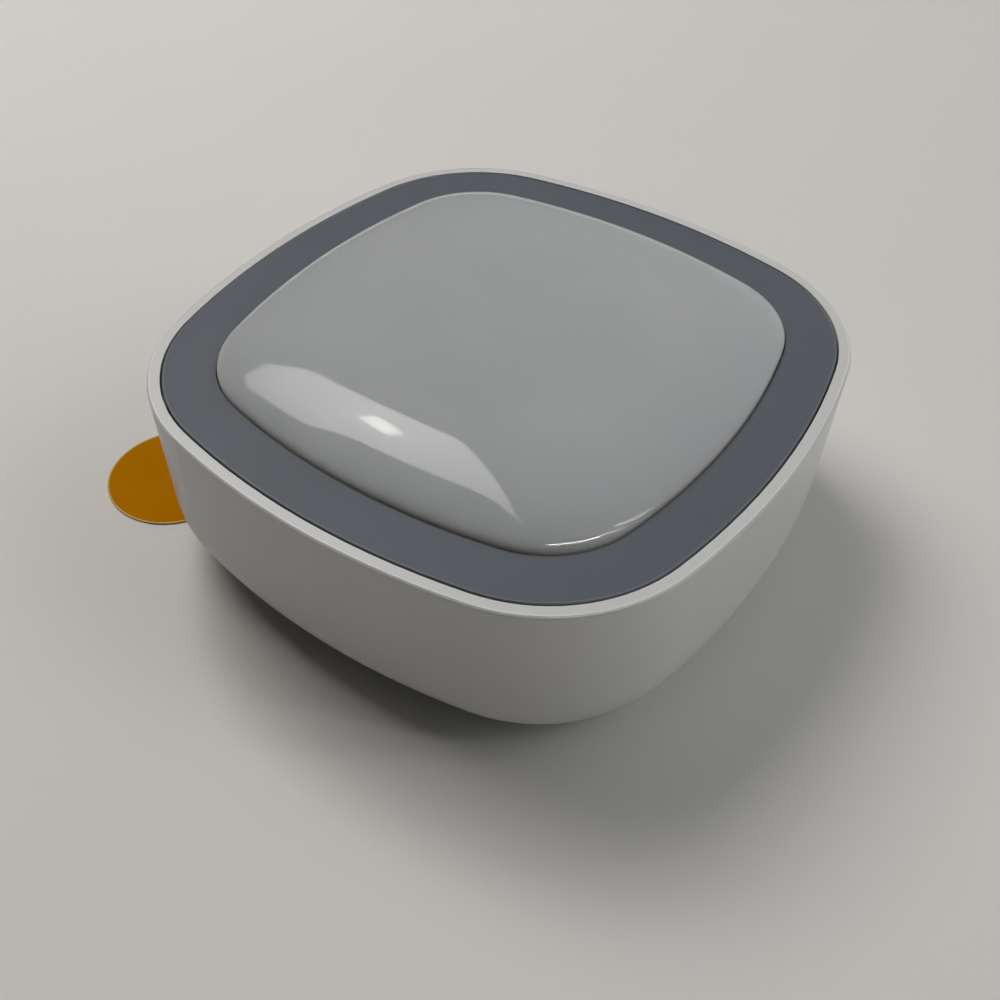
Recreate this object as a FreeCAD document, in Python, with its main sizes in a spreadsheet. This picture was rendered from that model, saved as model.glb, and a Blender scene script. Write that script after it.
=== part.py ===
import FreeCAD, Part
import math
import os
import Sketcher

# A PIR motion detector: a rounded square white housing with a flush grey bezel and a low milky
# lens, on a round twist-lock base plate with an adhesive pad, and an amber film that keeps the
# coin cell switched off until it is pulled.
# Millimetres. The origin is the centre of the adhesive face, +Z runs up through the lens, and
# X and Y cross the flat sides. Azimuths are degrees from +X towards +Y.

SIZES = [
    # the housing's outline is eight tangent arcs: four long side arcs and four corner arcs
    ("housing_width", 65.0, "across the flats, at the rim"),
    ("side_arc", 77.9, "radius of the four side arcs at the rim"),
    ("corner_arc", 18.1, "radius of the four corner arcs at the rim"),
    ("body_depth", 21.0, "rim to the housing's underside"),
    ("wall_draft", 0.28, "how much narrower the housing is at its underside, each side"),
    ("bottom_round", 7.5, "radius of the rounded bottom edge"),
    ("wall", 2.2, "side wall"),
    ("floor_thickness", 1.6, "housing floor"),
    ("rim_lip", 1.28, "width of the white rim round the bezel"),
    ("rim_round", 0.3, "soft outer edge of the rim"),
    ("sink", 0.2, "how far a raised feature sinks into what carries it"),
    ("over", 1.0, "how far a cut runs past what it cuts"),
    # bezel
    ("hairline", 0.18, "gap between the rim and the bezel"),
    ("bezel_thickness", 1.6, "face plate of the bezel"),
    ("bezel_round", 0.15, "soft outer edge of the bezel"),
    ("skirt_gap", 0.15, "bezel skirt to housing wall"),
    ("skirt_wall", 1.2, "bezel skirt"),
    ("skirt_depth", 3.6, "bezel skirt below the face plate"),
    ("snap_width", 10.0, "snap pocket in the housing wall"),
    ("snap_height", 1.2, "snap pocket"),
    ("snap_depth", 0.5, "snap pocket, into the wall"),
    ("snap_clear", 0.12, "snap bead to its pocket"),
    ("stake_radius", 0.5, "pins that hold the lens retainer"),
    ("stake_head", 0.9, "radius of the melted pin heads"),
    ("stake_clear", 0.1, "stake in its hole"),
    # lens
    ("ring_width", 5.39, "grey ring between the lens and the rim, across the flats"),
    ("lens_side_arc", 68.5, "radius of the lens's side arcs"),
    ("lens_corner_arc", 11.1, "radius of the lens's corner arcs"),
    ("lens_step", 0.2, "upright side of the lens above the bezel"),
    ("lens_rise", 3.1, "height of the lens above its upright side"),
    ("lens_bluntness", 2.3, "2 gives an elliptic lens, more gives a flatter crown"),
    ("lens_wall", 0.9, "lens wall"),
    ("lens_fit", 0.12, "lens to the bezel's opening"),
    ("flange_reach", 1.2, "lens flange under the bezel"),
    ("flange_thickness", 0.8, "lens flange"),
    ("facet_pitch", 1.6, "spacing of the ring facets inside the lens"),
    ("facet_depth", 0.3, "depth of the ring facets"),
    ("facet_land", 0.1, "flat between two ring facets"),
    ("facet_root", 0.5, "foot of the facets below the crown's inside"),
    ("retainer_thickness", 1.4, "ring that holds the lens flange up"),
    ("retainer_overlap", 1.5, "retainer inside the lens's outline"),
    # base plate and its bayonet
    ("pad_thickness", 1.0, "adhesive foam pad"),
    ("pad_margin", 0.25, "adhesive foam pad to the screw holes"),
    ("base_inset", 10.5, "base plate's edge to the housing's side"),
    ("base_thickness", 1.6, "base plate"),
    ("twist_gap", 0.3, "base plate to the housing's opening"),
    ("lug_width", 7.0, "bayonet lug, along the rim"),
    ("lug_reach", 2.25, "bayonet lug beyond the base plate"),
    ("lug_root", 3.0, "bayonet lug's foot on the base plate"),
    ("lug_thickness", 0.8, "bayonet lug"),
    ("lug_clear", 0.1, "lug above the housing floor"),
    ("lug_azimuth", 32.0, "first of three lugs"),
    ("twist_angle", 20.0, "turn that brings the lugs to their notches"),
    ("notch_clear", 0.6, "notch round a lug"),
    ("stop_width", 1.2, "stop rib beside each lug"),
    ("stop_gap", 0.3, "lug to stop rib"),
    ("screw_inset", 4.0, "middle of a wall screw hole to the base plate's edge"),
    ("screw_hole", 3.5, "wall screw hole, across"),
    ("counterbore", 6.0, "wall screw head recess, across"),
    ("counterbore_depth", 0.6, "wall screw head recess"),
    # cell, contacts and the pull tab
    ("cell_radius", 12.25, "coin cell"),
    ("cell_thickness", 5.0, "coin cell"),
    ("cap_radius", 10.9, "negative cap of the cell"),
    ("cap_height", 0.5, "negative cap of the cell"),
    ("cell_gap", 0.2, "cell in its cup"),
    ("cell_head", 0.3, "cell below the tray"),
    ("contact_thickness", 0.3, "spring strip of both contacts"),
    ("contact_width", 5.0, "positive finger"),
    ("contact_gap", 0.4, "positive finger above the base plate"),
    ("contact_tip", 1.0, "tip of the positive finger from the middle"),
    ("contact_leg", 0.35, "upright leg of the positive contact to the cup"),
    ("contact_foot", 2.5, "foot of the positive contact on the board"),
    ("contact_clear", 0.3, "contacts in the tray's openings"),
    ("leaf_width", 4.0, "negative leaf"),
    ("leaf_end", 7.0, "end of the leaf's foot from the middle"),
    ("leaf_bend", 4.7, "where the leaf leaves the board, from the middle"),
    ("leaf_touch", 3.0, "where the leaf meets the cell, from the middle"),
    ("leaf_tip", 5.5, "tip of the leaf from the middle"),
    ("leaf_shift", 0.2, "offset of the leaf's two sides along its slope"),
    ("film_thickness", 0.15, "pull tab film"),
    ("film_gap", 0.1, "film above the finger"),
    ("cell_seat", 0.05, "cell above the film"),
    ("film_tail", 4.0, "film past the middle of the cell"),
    ("tab_neck", 8.0, "width of the film strip"),
    ("tab_radius", 8.0, "round grip"),
    ("tab_out", 6.5, "middle of the grip beyond the housing's half width"),
    ("tab_azimuth", 212.0, "direction the film is pulled"),
    ("tab_height", 0.5, "grip above the surface"),
    ("bend_gap", 3.0, "film runs level this far beyond the base plate"),
    ("bend_run", 4.5, "length of the film's slope"),
    ("channel_side", 0.6, "film channel beside the film"),
    ("channel_head", 0.55, "film channel above the film"),
    ("channel_back", 0.4, "film channel behind the bend"),
    # tray and board
    ("cup_wall", 1.2, "wall of the cell cup"),
    ("cup_clear", 0.35, "cup above the film"),
    ("tray_plate", 1.2, "tray floor"),
    ("tray_gap", 0.3, "tray to the housing wall"),
    ("tray_pad", 0.8, "seats under the board"),
    ("hook_reach", 0.8, "hooks under the cell"),
    ("hook_width", 3.0, "hooks under the cell"),
    ("hook_spread", 25.0, "each hook from the line opposite the finger, degrees"),
    ("hook_inset", 0.1, "hook stalks inside the cup's two faces"),
    ("board_inset", 4.0, "board inside the housing's outline"),
    ("board_thickness", 1.2, "main board"),
    ("boss_side", 14.0, "screw bosses from the housing's sides along X"),
    ("boss_end", 10.0, "screw bosses from the housing's sides along Y"),
    ("boss_radius", 2.6, "screw bosses"),
    ("screw_radius", 0.9, "board screws"),
    ("screw_clear", 0.05, "board screws in their bosses"),
    ("screw_pass", 0.25, "board screws in the board and tray"),
    ("screw_bite", 4.0, "board screws into their bosses"),
    ("head_radius", 1.9, "board screw heads"),
    ("head_height", 1.4, "board screw heads"),
    ("slot_length", 2.47, "crossed slots in the screw heads"),
    ("slot_width", 0.57, "crossed slots in the screw heads"),
    # pairing button
    ("button_gap", 0.95, "button's well to the cell cup"),
    ("button_radius", 1.8, "button rod"),
    ("button_round", 0.45, "rounded end of the button rod"),
    ("button_flange", 2.5, "radius of the button's collar"),
    ("button_collar", 1.35, "thickness of the button's collar"),
    ("button_clear", 0.1, "button in its well"),
    ("button_length", 2.65, "rod below the collar"),
    ("button_travel", 0.3, "stroke of the button"),
    ("button_seat", 0.05, "collar above the well's lip, and stem above the collar"),
    ("well_wall", 0.8, "wall of the button's well"),
    ("well_lip", 1.2, "lip that holds the collar"),
    ("switch_clear", 0.3, "push switch in the tray's opening"),
    ("switch_width", 5.0, "push switch"),
    ("switch_height", 2.0, "push switch"),
    ("stem_radius", 1.0, "stem of the push switch"),
    ("stem_length", 1.05, "stem of the push switch"),
    # sensor and electronics
    ("spacer_radius", 5.6, "spacer under the sensor"),
    ("spacer_height", 1.9, "spacer under the sensor"),
    ("header_radius", 4.75, "sensor header"),
    ("header_height", 0.8, "sensor header"),
    ("can_radius", 4.1, "sensor can"),
    ("can_height", 3.2, "sensor can"),
    ("can_wall", 0.25, "sensor can"),
    ("window_length", 4.0, "opening in the can"),
    ("window_width", 3.0, "opening in the can"),
    ("filter_lap", 0.3, "filter beyond the opening"),
    ("filter_thickness", 0.5, "infrared filter"),
    ("lead_radius", 0.225, "sensor leads"),
    ("lead_circle", 2.54, "radius of the lead circle"),
    ("lead_tail", 0.5, "leads below the board"),
    ("module_edge", 10.5, "middle of the radio board to the main board's edge"),
    ("module_length", 16.0, "radio board"),
    ("module_width", 12.0, "radio board"),
    ("module_thickness", 0.8, "radio board"),
    ("shield_length", 11.5, "radio shield"),
    ("shield_margin", 0.5, "radio shield to the radio board's edges"),
    ("shield_height", 1.8, "radio shield"),
    ("shield_wall", 0.2, "radio shield"),
    ("track_length", 2.4, "each bar of the aerial track"),
    ("track_width", 0.4, "aerial track"),
    ("track_thickness", 0.1, "aerial track"),
    ("aerial_edge", 1.9, "middle of the aerial from the radio board's end"),
    ("aerial_margin", 1.25, "aerial from the radio board's sides"),
    ("chip_edge", 14.5, "amplifier from the main board's edge"),
    ("chip_y", 4.0, "amplifier from the middle"),
    ("chip_length", 4.9, "amplifier"),
    ("chip_width", 3.9, "amplifier"),
    ("chip_height", 1.4, "amplifier"),
    ("chip_lift", 0.15, "amplifier above the board"),
    ("leg_pitch", 1.27, "amplifier's legs, centre to centre"),
    ("leg_width", 0.4, "amplifier's legs"),
    ("leg_thickness", 0.2, "amplifier's legs"),
    ("leg_knee", 0.9, "height of the legs' bend above the board"),
    ("leg_shoulder", 0.5, "level part of a leg"),
    ("leg_foot", 0.6, "foot of a leg"),
    ("passive_length", 1.6, "small capacitors and resistors"),
    ("passive_width", 0.8, "small capacitors and resistors"),
    ("passive_pitch", 4.0, "small capacitors and resistors, centre to centre"),
    ("capacitor_height", 0.8, "small capacitors"),
    ("capacitor_y", 14.0, "row of small capacitors"),
    ("resistor_height", 0.45, "small resistors"),
    ("bulk_edge", 11.5, "large capacitor from the main board's edge"),
    ("bulk_y", 5.0, "large capacitor"),
    ("bulk_length", 7.3, "large capacitor"),
    ("bulk_width", 4.3, "large capacitor"),
    ("bulk_height", 2.8, "large capacitor"),
    ("lamp_x", 9.5, "lamp and light sensor, each side of the middle"),
    ("lamp_y", -3.0, "lamp and light sensor"),
    ("lamp_length", 3.5, "lamp"),
    ("lamp_width", 2.8, "lamp"),
    ("lamp_height", 1.9, "lamp"),
    ("lamp_cup", 0.9, "depth of the lamp's cup"),
    ("lamp_floor", 0.8, "radius of the cup's floor"),
    ("lamp_flare", 0.26, "how much the cup's radius grows up to its mouth"),
    ("light_length", 2.0, "light sensor"),
    ("light_width", 1.25, "light sensor"),
    ("light_height", 0.8, "light sensor"),
]

# levels above the adhesive face, and half widths, worked out from the sizes above
DERIVED = [
    ("half_width", "housing_width / 2"),
    ("lens_half", "half_width - rim_lip - hairline - ring_width"),
    ("board_half", "half_width - board_inset"),
    ("base_radius", "half_width - base_inset"),
    ("screw_x", "base_radius - screw_inset"),
    ("pad_radius", "screw_x - screw_hole / 2 - pad_margin"),
    ("bend_start", "base_radius + bend_gap"),
    ("tab_reach", "half_width + tab_out"),
    ("boss_x", "half_width - boss_side"),
    ("boss_y", "half_width - boss_end"),
    ("foot", "pad_thickness"),
    ("floor_top", "foot + floor_thickness"),
    ("base_top", "foot + base_thickness"),
    ("lug_under", "floor_top + lug_clear"),
    ("lug_top", "lug_under + lug_thickness"),
    ("finger_bottom", "base_top + contact_gap"),
    ("finger_top", "finger_bottom + contact_thickness"),
    ("film_bottom", "finger_top + film_gap"),
    ("film_top", "film_bottom + film_thickness"),
    ("cell_bottom", "film_top + cell_seat"),
    ("cell_top", "cell_bottom + cell_thickness"),
    ("cup_bottom", "film_top + cup_clear"),
    ("tray_bottom", "cell_top + cell_head"),
    ("tray_top", "tray_bottom + tray_plate"),
    ("board_bottom", "tray_top + tray_pad"),
    ("board_top", "board_bottom + board_thickness"),
    ("rim", "foot + body_depth"),
    ("bezel_bottom", "rim - bezel_thickness"),
    ("skirt_bottom", "bezel_bottom - skirt_depth"),
    ("snap_level", "skirt_bottom + snap_depth"),
    ("flange_bottom", "bezel_bottom - flange_thickness"),
    ("retainer_bottom", "flange_bottom - retainer_thickness"),
    ("lens_base", "rim + lens_step"),
    ("skirt_inset", "wall + skirt_gap"),
    ("skirt_inner", "skirt_inset + skirt_wall"),
    ("stake_place", "(half_width - skirt_inner + lens_half + flange_reach) / 2"),
    ("cup_radius", "cell_radius + cell_gap"),
    ("cup_outer", "cup_radius + cup_wall"),
    ("lug_end", "base_radius + lug_reach"),
    ("channel_top", "film_top + channel_head"),
    ("switch_bottom", "board_bottom - switch_height"),
    ("stem_bottom", "switch_bottom - button_travel - button_clear - button_seat"),
    ("collar_top", "stem_bottom - button_seat"),
    ("collar_bottom", "collar_top - button_collar"),
    ("well_floor", "collar_bottom - button_seat"),
    ("well_bottom", "well_floor - well_lip"),
    ("well_radius", "button_flange + button_clear"),
    ("button_y", "cup_outer + button_gap + well_wall + well_radius"),
    ("header_bottom", "board_top + spacer_height"),
    ("can_bottom", "header_bottom + header_height"),
    ("can_top", "can_bottom + can_height"),
    ("module_y", "-(board_half - module_edge)"),
    ("resistor_y", "(module_y + module_width / 2 - spacer_radius) / 2"),
]

SECTION_ANGLES = (0, 15, 30, 45, 60, 75, 83, 87.5, 89.6)   # degrees up the lens's profile
FACET_COUNT = 8            # ring facets inside the lens
LUG_COUNT = 3
SIDE_COUNT = 4
LEAD_COUNT = 3
LEGS_A_SIDE = 4
AERIAL_BARS = 7
CAPACITOR_COUNT = 8
RESISTOR_COUNT = 7
UP = FreeCAD.Vector(0, 0, 1)

doc = FreeCAD.newDocument("pir_motion_detector")
nodes = []


def make_sheet():
    """The driving sizes as plain numbers, and the levels as formulas on them."""
    table = doc.addObject("Spreadsheet::Sheet", "dim")
    rows = [(name, str(number), note) for name, number, note in SIZES]
    rows += [(name, "=" + formula, "worked out") for name, formula in DERIVED]
    for row, (name, content, note) in enumerate(rows, start=1):
        table.set(f"A{row}", name)
        table.set(f"B{row}", content)
        table.set(f"C{row}", note)
        table.setAlias(f"B{row}", name)
    doc.recompute()
    return table


def value(formula):
    """What a formula on the sheet gives now, as a plain number."""
    return float(sheet.evalExpression(formula))


# sketches


def new_body(label, own_piece=True):
    """A body, which is one of the device's pieces unless it only shapes another."""
    body = doc.addObject("PartDesign::Body", label)
    body.Label = label
    if own_piece:
        nodes.append(body)
    return body


def origin_item(body, role):
    """One of the body's own origin planes or axes."""
    return [item for item in body.Origin.OriginFeatures if item.Role == role][0]


def sketch_at(body, name, level, turn=None):
    """A level sketch, as high as level says, turned about Z by a formula in degrees."""
    sketch = body.newObject("Sketcher::SketchObject", name)
    sketch.AttachmentSupport = [(origin_item(body, "XY_Plane"), "")]
    sketch.MapMode = "FlatFace"
    if turn:
        spin = FreeCAD.Rotation(UP, value(turn))
        sketch.AttachmentOffset = FreeCAD.Placement(FreeCAD.Vector(), spin)
        sketch.setExpression("AttachmentOffset.Rotation.Angle", turn)
    sketch.setExpression("AttachmentOffset.Base.z", level)
    return sketch


def upright_sketch(body, name):
    """A sketch in the XZ plane: its x is X and its y is Z."""
    sketch = body.newObject("Sketcher::SketchObject", name)
    sketch.AttachmentSupport = [(origin_item(body, "XZ_Plane"), "")]
    sketch.MapMode = "FlatFace"
    return sketch


def bind(sketch, kind, *items):
    """A size constraint whose value is the formula given last."""
    *places, formula = items
    index = sketch.addConstraint(Sketcher.Constraint(kind, *places, value(formula)))
    sketch.setExpression(f"Constraints[{index}]", formula)


def place_point(sketch, shape, point, x, y):
    """Holds a point of a shape at x and y, which are formulas or 0."""
    if x == 0:
        sketch.addConstraint(Sketcher.Constraint("PointOnObject", shape, point, -2))
    else:
        bind(sketch, "DistanceX", -1, 1, shape, point, x)
    if y == 0:
        sketch.addConstraint(Sketcher.Constraint("PointOnObject", shape, point, -1))
    else:
        bind(sketch, "DistanceY", -1, 1, shape, point, y)


def number(formula):
    return value(formula) if formula != 0 else 0.0


def add_circle(sketch, radius, x=0, y=0):
    middle = FreeCAD.Vector(number(x), number(y), 0)
    shape = sketch.addGeometry(Part.Circle(middle, UP, value(radius)), False)
    bind(sketch, "Radius", shape, radius)
    place_point(sketch, shape, 3, x, y)


def add_polygon(sketch, corners):
    """A closed run of straight lines through corners, each a pair of formulas or zeros."""
    points = [FreeCAD.Vector(number(x), number(y), 0) for x, y in corners]
    count = len(points)
    lines = []
    for index, start in enumerate(points):
        end = points[(index + 1) % count]
        lines.append(sketch.addGeometry(Part.LineSegment(start, end), False))
    for index, line in enumerate(lines):
        follower = lines[(index + 1) % count]
        sketch.addConstraint(Sketcher.Constraint("Coincident", line, 2, follower, 1))
    for line, (x, y) in zip(lines, corners):
        place_point(sketch, line, 1, x, y)


def add_rectangle(sketch, x_low, x_high, y_low, y_high):
    add_polygon(sketch, [(x_low, y_low), (x_high, y_low), (x_high, y_high), (x_low, y_high)])


def add_outline(sketch, half, side, corner):
    """Four side arcs and four corner arcs, tangent all round, half wide along X and Y."""
    reach, side_radius, corner_radius = value(half), value(side), value(corner)
    back = side_radius - reach
    spread = math.sqrt(2 * (side_radius - corner_radius) ** 2 - back ** 2)
    middle = (spread - back) / 2
    half_sweep = math.atan2(middle, middle + back)
    for quarter in range(SIDE_COUNT):
        facing = quarter * math.pi / 2
        away = FreeCAD.Vector(-back * math.cos(facing), -back * math.sin(facing), 0)
        arc = Part.ArcOfCircle(
            Part.Circle(away, UP, side_radius), facing - half_sweep, facing + half_sweep
        )
        sketch.addGeometry(arc, False)
        diagonal = facing + math.pi / 4
        reach_out = middle * math.sqrt(2)
        place = FreeCAD.Vector(
            reach_out * math.cos(diagonal), reach_out * math.sin(diagonal), 0
        )
        arc = Part.ArcOfCircle(
            Part.Circle(place, UP, corner_radius),
            facing + half_sweep,
            facing + math.pi / 2 - half_sweep,
        )
        sketch.addGeometry(arc, False)
    arcs = 2 * SIDE_COUNT
    for arc in range(arcs):
        sketch.addConstraint(Sketcher.Constraint("Tangent", arc, 2, (arc + 1) % arcs, 1))
    for arc in range(2, arcs, 2):
        sketch.addConstraint(Sketcher.Constraint("Equal", 0, arc))
        sketch.addConstraint(Sketcher.Constraint("Equal", 1, arc + 1))
    for arc, axis in ((0, -1), (2, -2), (4, -1), (6, -2)):
        sketch.addConstraint(Sketcher.Constraint("PointOnObject", arc, 3, axis))
    bind(sketch, "Radius", 0, side)
    bind(sketch, "Radius", 1, corner)
    set_back = f"({side}) - ({half})"
    bind(sketch, "DistanceX", 0, 3, -1, 1, set_back)
    bind(sketch, "DistanceY", 2, 3, -1, 1, set_back)
    bind(sketch, "DistanceX", -1, 1, 4, 3, set_back)
    bind(sketch, "DistanceY", -1, 1, 6, 3, set_back)


def housing_outline(body, name, level, inset="0"):
    """The housing's rim outline, moved inwards by inset."""
    sketch = sketch_at(body, name, level)
    add_outline(
        sketch,
        f"dim.half_width - ({inset})",
        f"dim.side_arc - ({inset})",
        f"dim.corner_arc - ({inset})",
    )
    return sketch


def lens_outline(body, name, level, grow="0", scale="1"):
    """The lens's outline at the bezel, scaled about the middle and moved outwards by grow."""
    sketch = sketch_at(body, name, level)
    add_outline(
        sketch,
        f"(dim.lens_half + {grow}) * ({scale})",
        f"(dim.lens_side_arc + {grow}) * ({scale})",
        f"(dim.lens_corner_arc + {grow}) * ({scale})",
    )
    return sketch


# features


def pad(body, sketch, length, midplane=False):
    feature = body.newObject("PartDesign::Pad", sketch.Name + "_pad")
    feature.Profile = sketch
    feature.Midplane = midplane
    feature.setExpression("Length", length)
    sketch.Visibility = False
    doc.recompute()
    return feature


def pocket(body, sketch, length, upwards=True):
    """Cuts a sketch's shape out of the body, from the sketch's own level."""
    before = body.Shape.Volume
    feature = body.newObject("PartDesign::Pocket", sketch.Name + "_pocket")
    feature.Profile = sketch
    feature.Reversed = upwards
    feature.setExpression("Length", length)
    doc.recompute()
    if not body.Shape.Volume < before:
        raise ValueError(f"{feature.Name} cuts nothing")
    return feature


def loft(body, kind, sections):
    feature = body.newObject(f"PartDesign::{kind}", sections[0].Name + "_loft")
    feature.Profile = sections[0]
    feature.Sections = sections[1:]
    doc.recompute()
    return feature


def round_about(body, feature, count):
    """Repeats a feature about Z."""
    pattern = body.newObject("PartDesign::PolarPattern", feature.Name + "_round")
    pattern.Originals = [feature]
    pattern.Axis = (origin_item(body, "Z_Axis"), [""])
    pattern.Angle = 360
    pattern.Occurrences = count
    body.Tip = pattern
    doc.recompute()
    return pattern


def face_edges(shape, level):
    """Names of the outer edges of the largest flat face at a level."""
    faces = [
        face
        for face in shape.Faces
        if isinstance(face.Surface, Part.Plane)
        and abs(face.BoundBox.ZMin - level) < 1e-5
        and abs(face.BoundBox.ZMax - level) < 1e-5
    ]
    largest = max(faces, key=lambda face: Part.Face(face.OuterWire).Area)
    border = largest.OuterWire.Edges
    names = []
    for index, edge in enumerate(shape.Edges, start=1):
        if any(edge.isSame(other) for other in border):
            names.append(f"Edge{index}")
    return names


def round_edges(body, level, radius):
    """Fillets the outer edges of the flat face at a level."""
    base = body.Tip
    feature = body.newObject("PartDesign::Fillet", base.Name + "_round_edge")
    feature.Base = (base, face_edges(base.Shape, value(level)))
    feature.setExpression("Radius", radius)
    doc.recompute()
    return feature


# simple solids for bought-in and flat pieces


def place_at(item, x=None, y=None, z=None):
    for axis, formula in (("x", x), ("y", y), ("z", z)):
        if formula is not None:
            item.setExpression(f"Placement.Base.{axis}", str(formula))


def cylinder(name, radius, height, x=None, y=None, z=None):
    item = doc.addObject("Part::Cylinder", name)
    item.setExpression("Radius", str(radius))
    item.setExpression("Height", str(height))
    place_at(item, x, y, z)
    return item


def block(name, length, width, height, x="0", y="0", z="0"):
    """A box whose bottom face is centred on x, y, z."""
    item = doc.addObject("Part::Box", name)
    item.setExpression("Length", str(length))
    item.setExpression("Width", str(width))
    item.setExpression("Height", str(height))
    place_at(item, f"{x} - ({length}) / 2", f"{y} - ({width}) / 2", z)
    return item


def cut(label, base, tools):
    """Base less the tools, one after the other."""
    for index, tool in enumerate(tools):
        name = label if index == len(tools) - 1 else f"{label}_cut_{index}"
        item = doc.addObject("Part::Cut", name)
        item.Base = base
        item.Tool = tool
        base = item
    return base


def fuse(label, pieces):
    item = doc.addObject("Part::MultiFuse", label)
    item.Shapes = pieces
    return item


def group(label, pieces):
    """Several separate solids that share one node."""
    item = doc.addObject("Part::Compound", label)
    item.Links = pieces
    return keep(item, label)


def keep(item, label):
    """Counts an object as one of the device's own pieces."""
    item.Label = label
    nodes.append(item)
    return item


def corners_of(x, y):
    """The four places at plus and minus x and y."""
    return [(f"{a}{x}", f"{b}{y}") for a in ("", "-") for b in ("", "-")]


# housing


def housing():
    body = new_body("housing")
    under = housing_outline(body, "underside", "dim.foot", "dim.wall_draft")
    shell = pad(body, under, "dim.body_depth")
    shell.setExpression("TaperAngle", "atan(dim.wall_draft / dim.body_depth)")
    doc.recompute()
    round_edges(body, "dim.foot", "dim.bottom_round")

    hollow_out(body, housing_core())
    seat = housing_outline(body, "bezel_seat", "dim.bezel_bottom", "dim.rim_lip")
    pocket(body, seat, "dim.bezel_thickness + dim.over")

    opening = sketch_at(body, "base_opening", "dim.foot - dim.over")
    add_circle(opening, "dim.base_radius + dim.twist_gap")
    pocket(body, opening, "dim.floor_thickness + 2 * dim.over")
    lug_notches(body)
    stop_ribs(body)
    film_channel(body)
    screw_bosses(body)
    snap_pockets(body)
    round_edges(body, "dim.rim", "dim.rim_round")


def housing_core():
    """The room inside the housing, rounded along its bottom edge like the outside."""
    body = new_body("housing_core", own_piece=False)
    inside = housing_outline(body, "inside", "dim.floor_top", "dim.wall")
    pad(body, inside, "dim.body_depth")
    round_edges(body, "dim.floor_top", "dim.bottom_round - dim.wall")
    return body


def hollow_out(body, core):
    """Takes a core's shape out of a body."""
    feature = body.newObject("PartDesign::Boolean", core.Name + "_cut")
    feature.setObjects([core])
    feature.Type = "Cut"
    doc.recompute()


def lug_notches(body):
    notch = sketch_at(
        body, "lug_notch", "dim.foot - dim.over", "dim.lug_azimuth - dim.twist_angle"
    )
    add_rectangle(
        notch,
        "dim.base_radius - dim.over",
        "dim.lug_end + dim.notch_clear",
        "-(dim.lug_width / 2 + dim.notch_clear)",
        "dim.lug_width / 2 + dim.notch_clear",
    )
    feature = pocket(body, notch, "dim.floor_thickness + 2 * dim.over")
    round_about(body, feature, LUG_COUNT)


def stop_ribs(body):
    """A rib beside each lug, so that the base plate turns one way only."""
    rib = sketch_at(body, "stop_rib", "dim.floor_top - dim.sink", "dim.lug_azimuth")
    near_side = "dim.lug_width / 2 + dim.stop_gap"
    add_rectangle(
        rib,
        "dim.base_radius + 2 * dim.twist_gap",
        "dim.lug_end",
        near_side,
        f"{near_side} + dim.stop_width",
    )
    feature = pad(body, rib, "dim.lug_top - dim.floor_top + dim.sink")
    round_about(body, feature, LUG_COUNT)


def film_channel(body):
    """A notch in the underside that lets the pull tab out under the rounded edge."""
    channel = sketch_at(body, "film_channel", "dim.foot - dim.over", "dim.tab_azimuth")
    side = "dim.tab_neck / 2 + dim.channel_side"
    add_rectangle(
        channel,
        "dim.bend_start - dim.channel_back",
        "dim.housing_width",
        f"-({side})",
        side,
    )
    pocket(body, channel, "dim.channel_top - dim.foot + dim.over")


def screw_bosses(body):
    post = sketch_at(body, "screw_boss", "dim.floor_top - dim.sink")
    for x, y in corners_of("dim.boss_x", "dim.boss_y"):
        add_circle(post, "dim.boss_radius", x, y)
    pad(body, post, "dim.tray_bottom - dim.floor_top + dim.sink")
    pilot = sketch_at(body, "boss_pilot", "dim.tray_bottom - dim.screw_bite - dim.over")
    for x, y in corners_of("dim.boss_x", "dim.boss_y"):
        add_circle(pilot, "dim.screw_radius + dim.screw_clear", x, y)
    pocket(body, pilot, "dim.screw_bite + 2 * dim.over")


def snap_pockets(body):
    dent = sketch_at(body, "snap_pocket", "dim.snap_level")
    face = "dim.half_width - dim.wall"
    add_rectangle(
        dent,
        f"{face} - dim.over",
        f"{face} + dim.snap_depth",
        "-dim.snap_width / 2",
        "dim.snap_width / 2",
    )
    feature = pocket(body, dent, "dim.snap_height")
    round_about(body, feature, SIDE_COUNT)


# bezel, lens and retainer


def bezel_ring():
    body = new_body("bezel_ring")
    plate = housing_outline(body, "face_plate", "dim.bezel_bottom", "dim.rim_lip + dim.hairline")
    pad(body, plate, "dim.bezel_thickness")
    skirt = housing_outline(body, "skirt", "dim.skirt_bottom", "dim.skirt_inset")
    pad(body, skirt, "dim.skirt_depth + dim.sink")
    hollow = housing_outline(
        body, "skirt_hollow", "dim.skirt_bottom - dim.over", "dim.skirt_inner"
    )
    pocket(body, hollow, "dim.skirt_depth + dim.over")
    opening = lens_outline(
        body, "lens_opening", "dim.bezel_bottom - dim.over", "dim.lens_fit"
    )
    pocket(body, opening, "dim.bezel_thickness + 2 * dim.over")
    snap_beads(body)
    retainer_stakes(body)
    round_edges(body, "dim.rim", "dim.bezel_round")


def snap_beads(body):
    bead = sketch_at(body, "snap_bead", "dim.snap_level + dim.snap_clear")
    face = "dim.half_width - dim.wall"
    half = "(dim.snap_width / 2 - dim.snap_clear)"
    add_rectangle(
        bead,
        "dim.half_width - dim.skirt_inset - dim.skirt_wall / 2",
        f"{face} + dim.snap_depth - dim.snap_clear",
        f"-{half}",
        half,
    )
    feature = pad(body, bead, "dim.snap_height - 2 * dim.snap_clear")
    round_about(body, feature, SIDE_COUNT)


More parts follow.
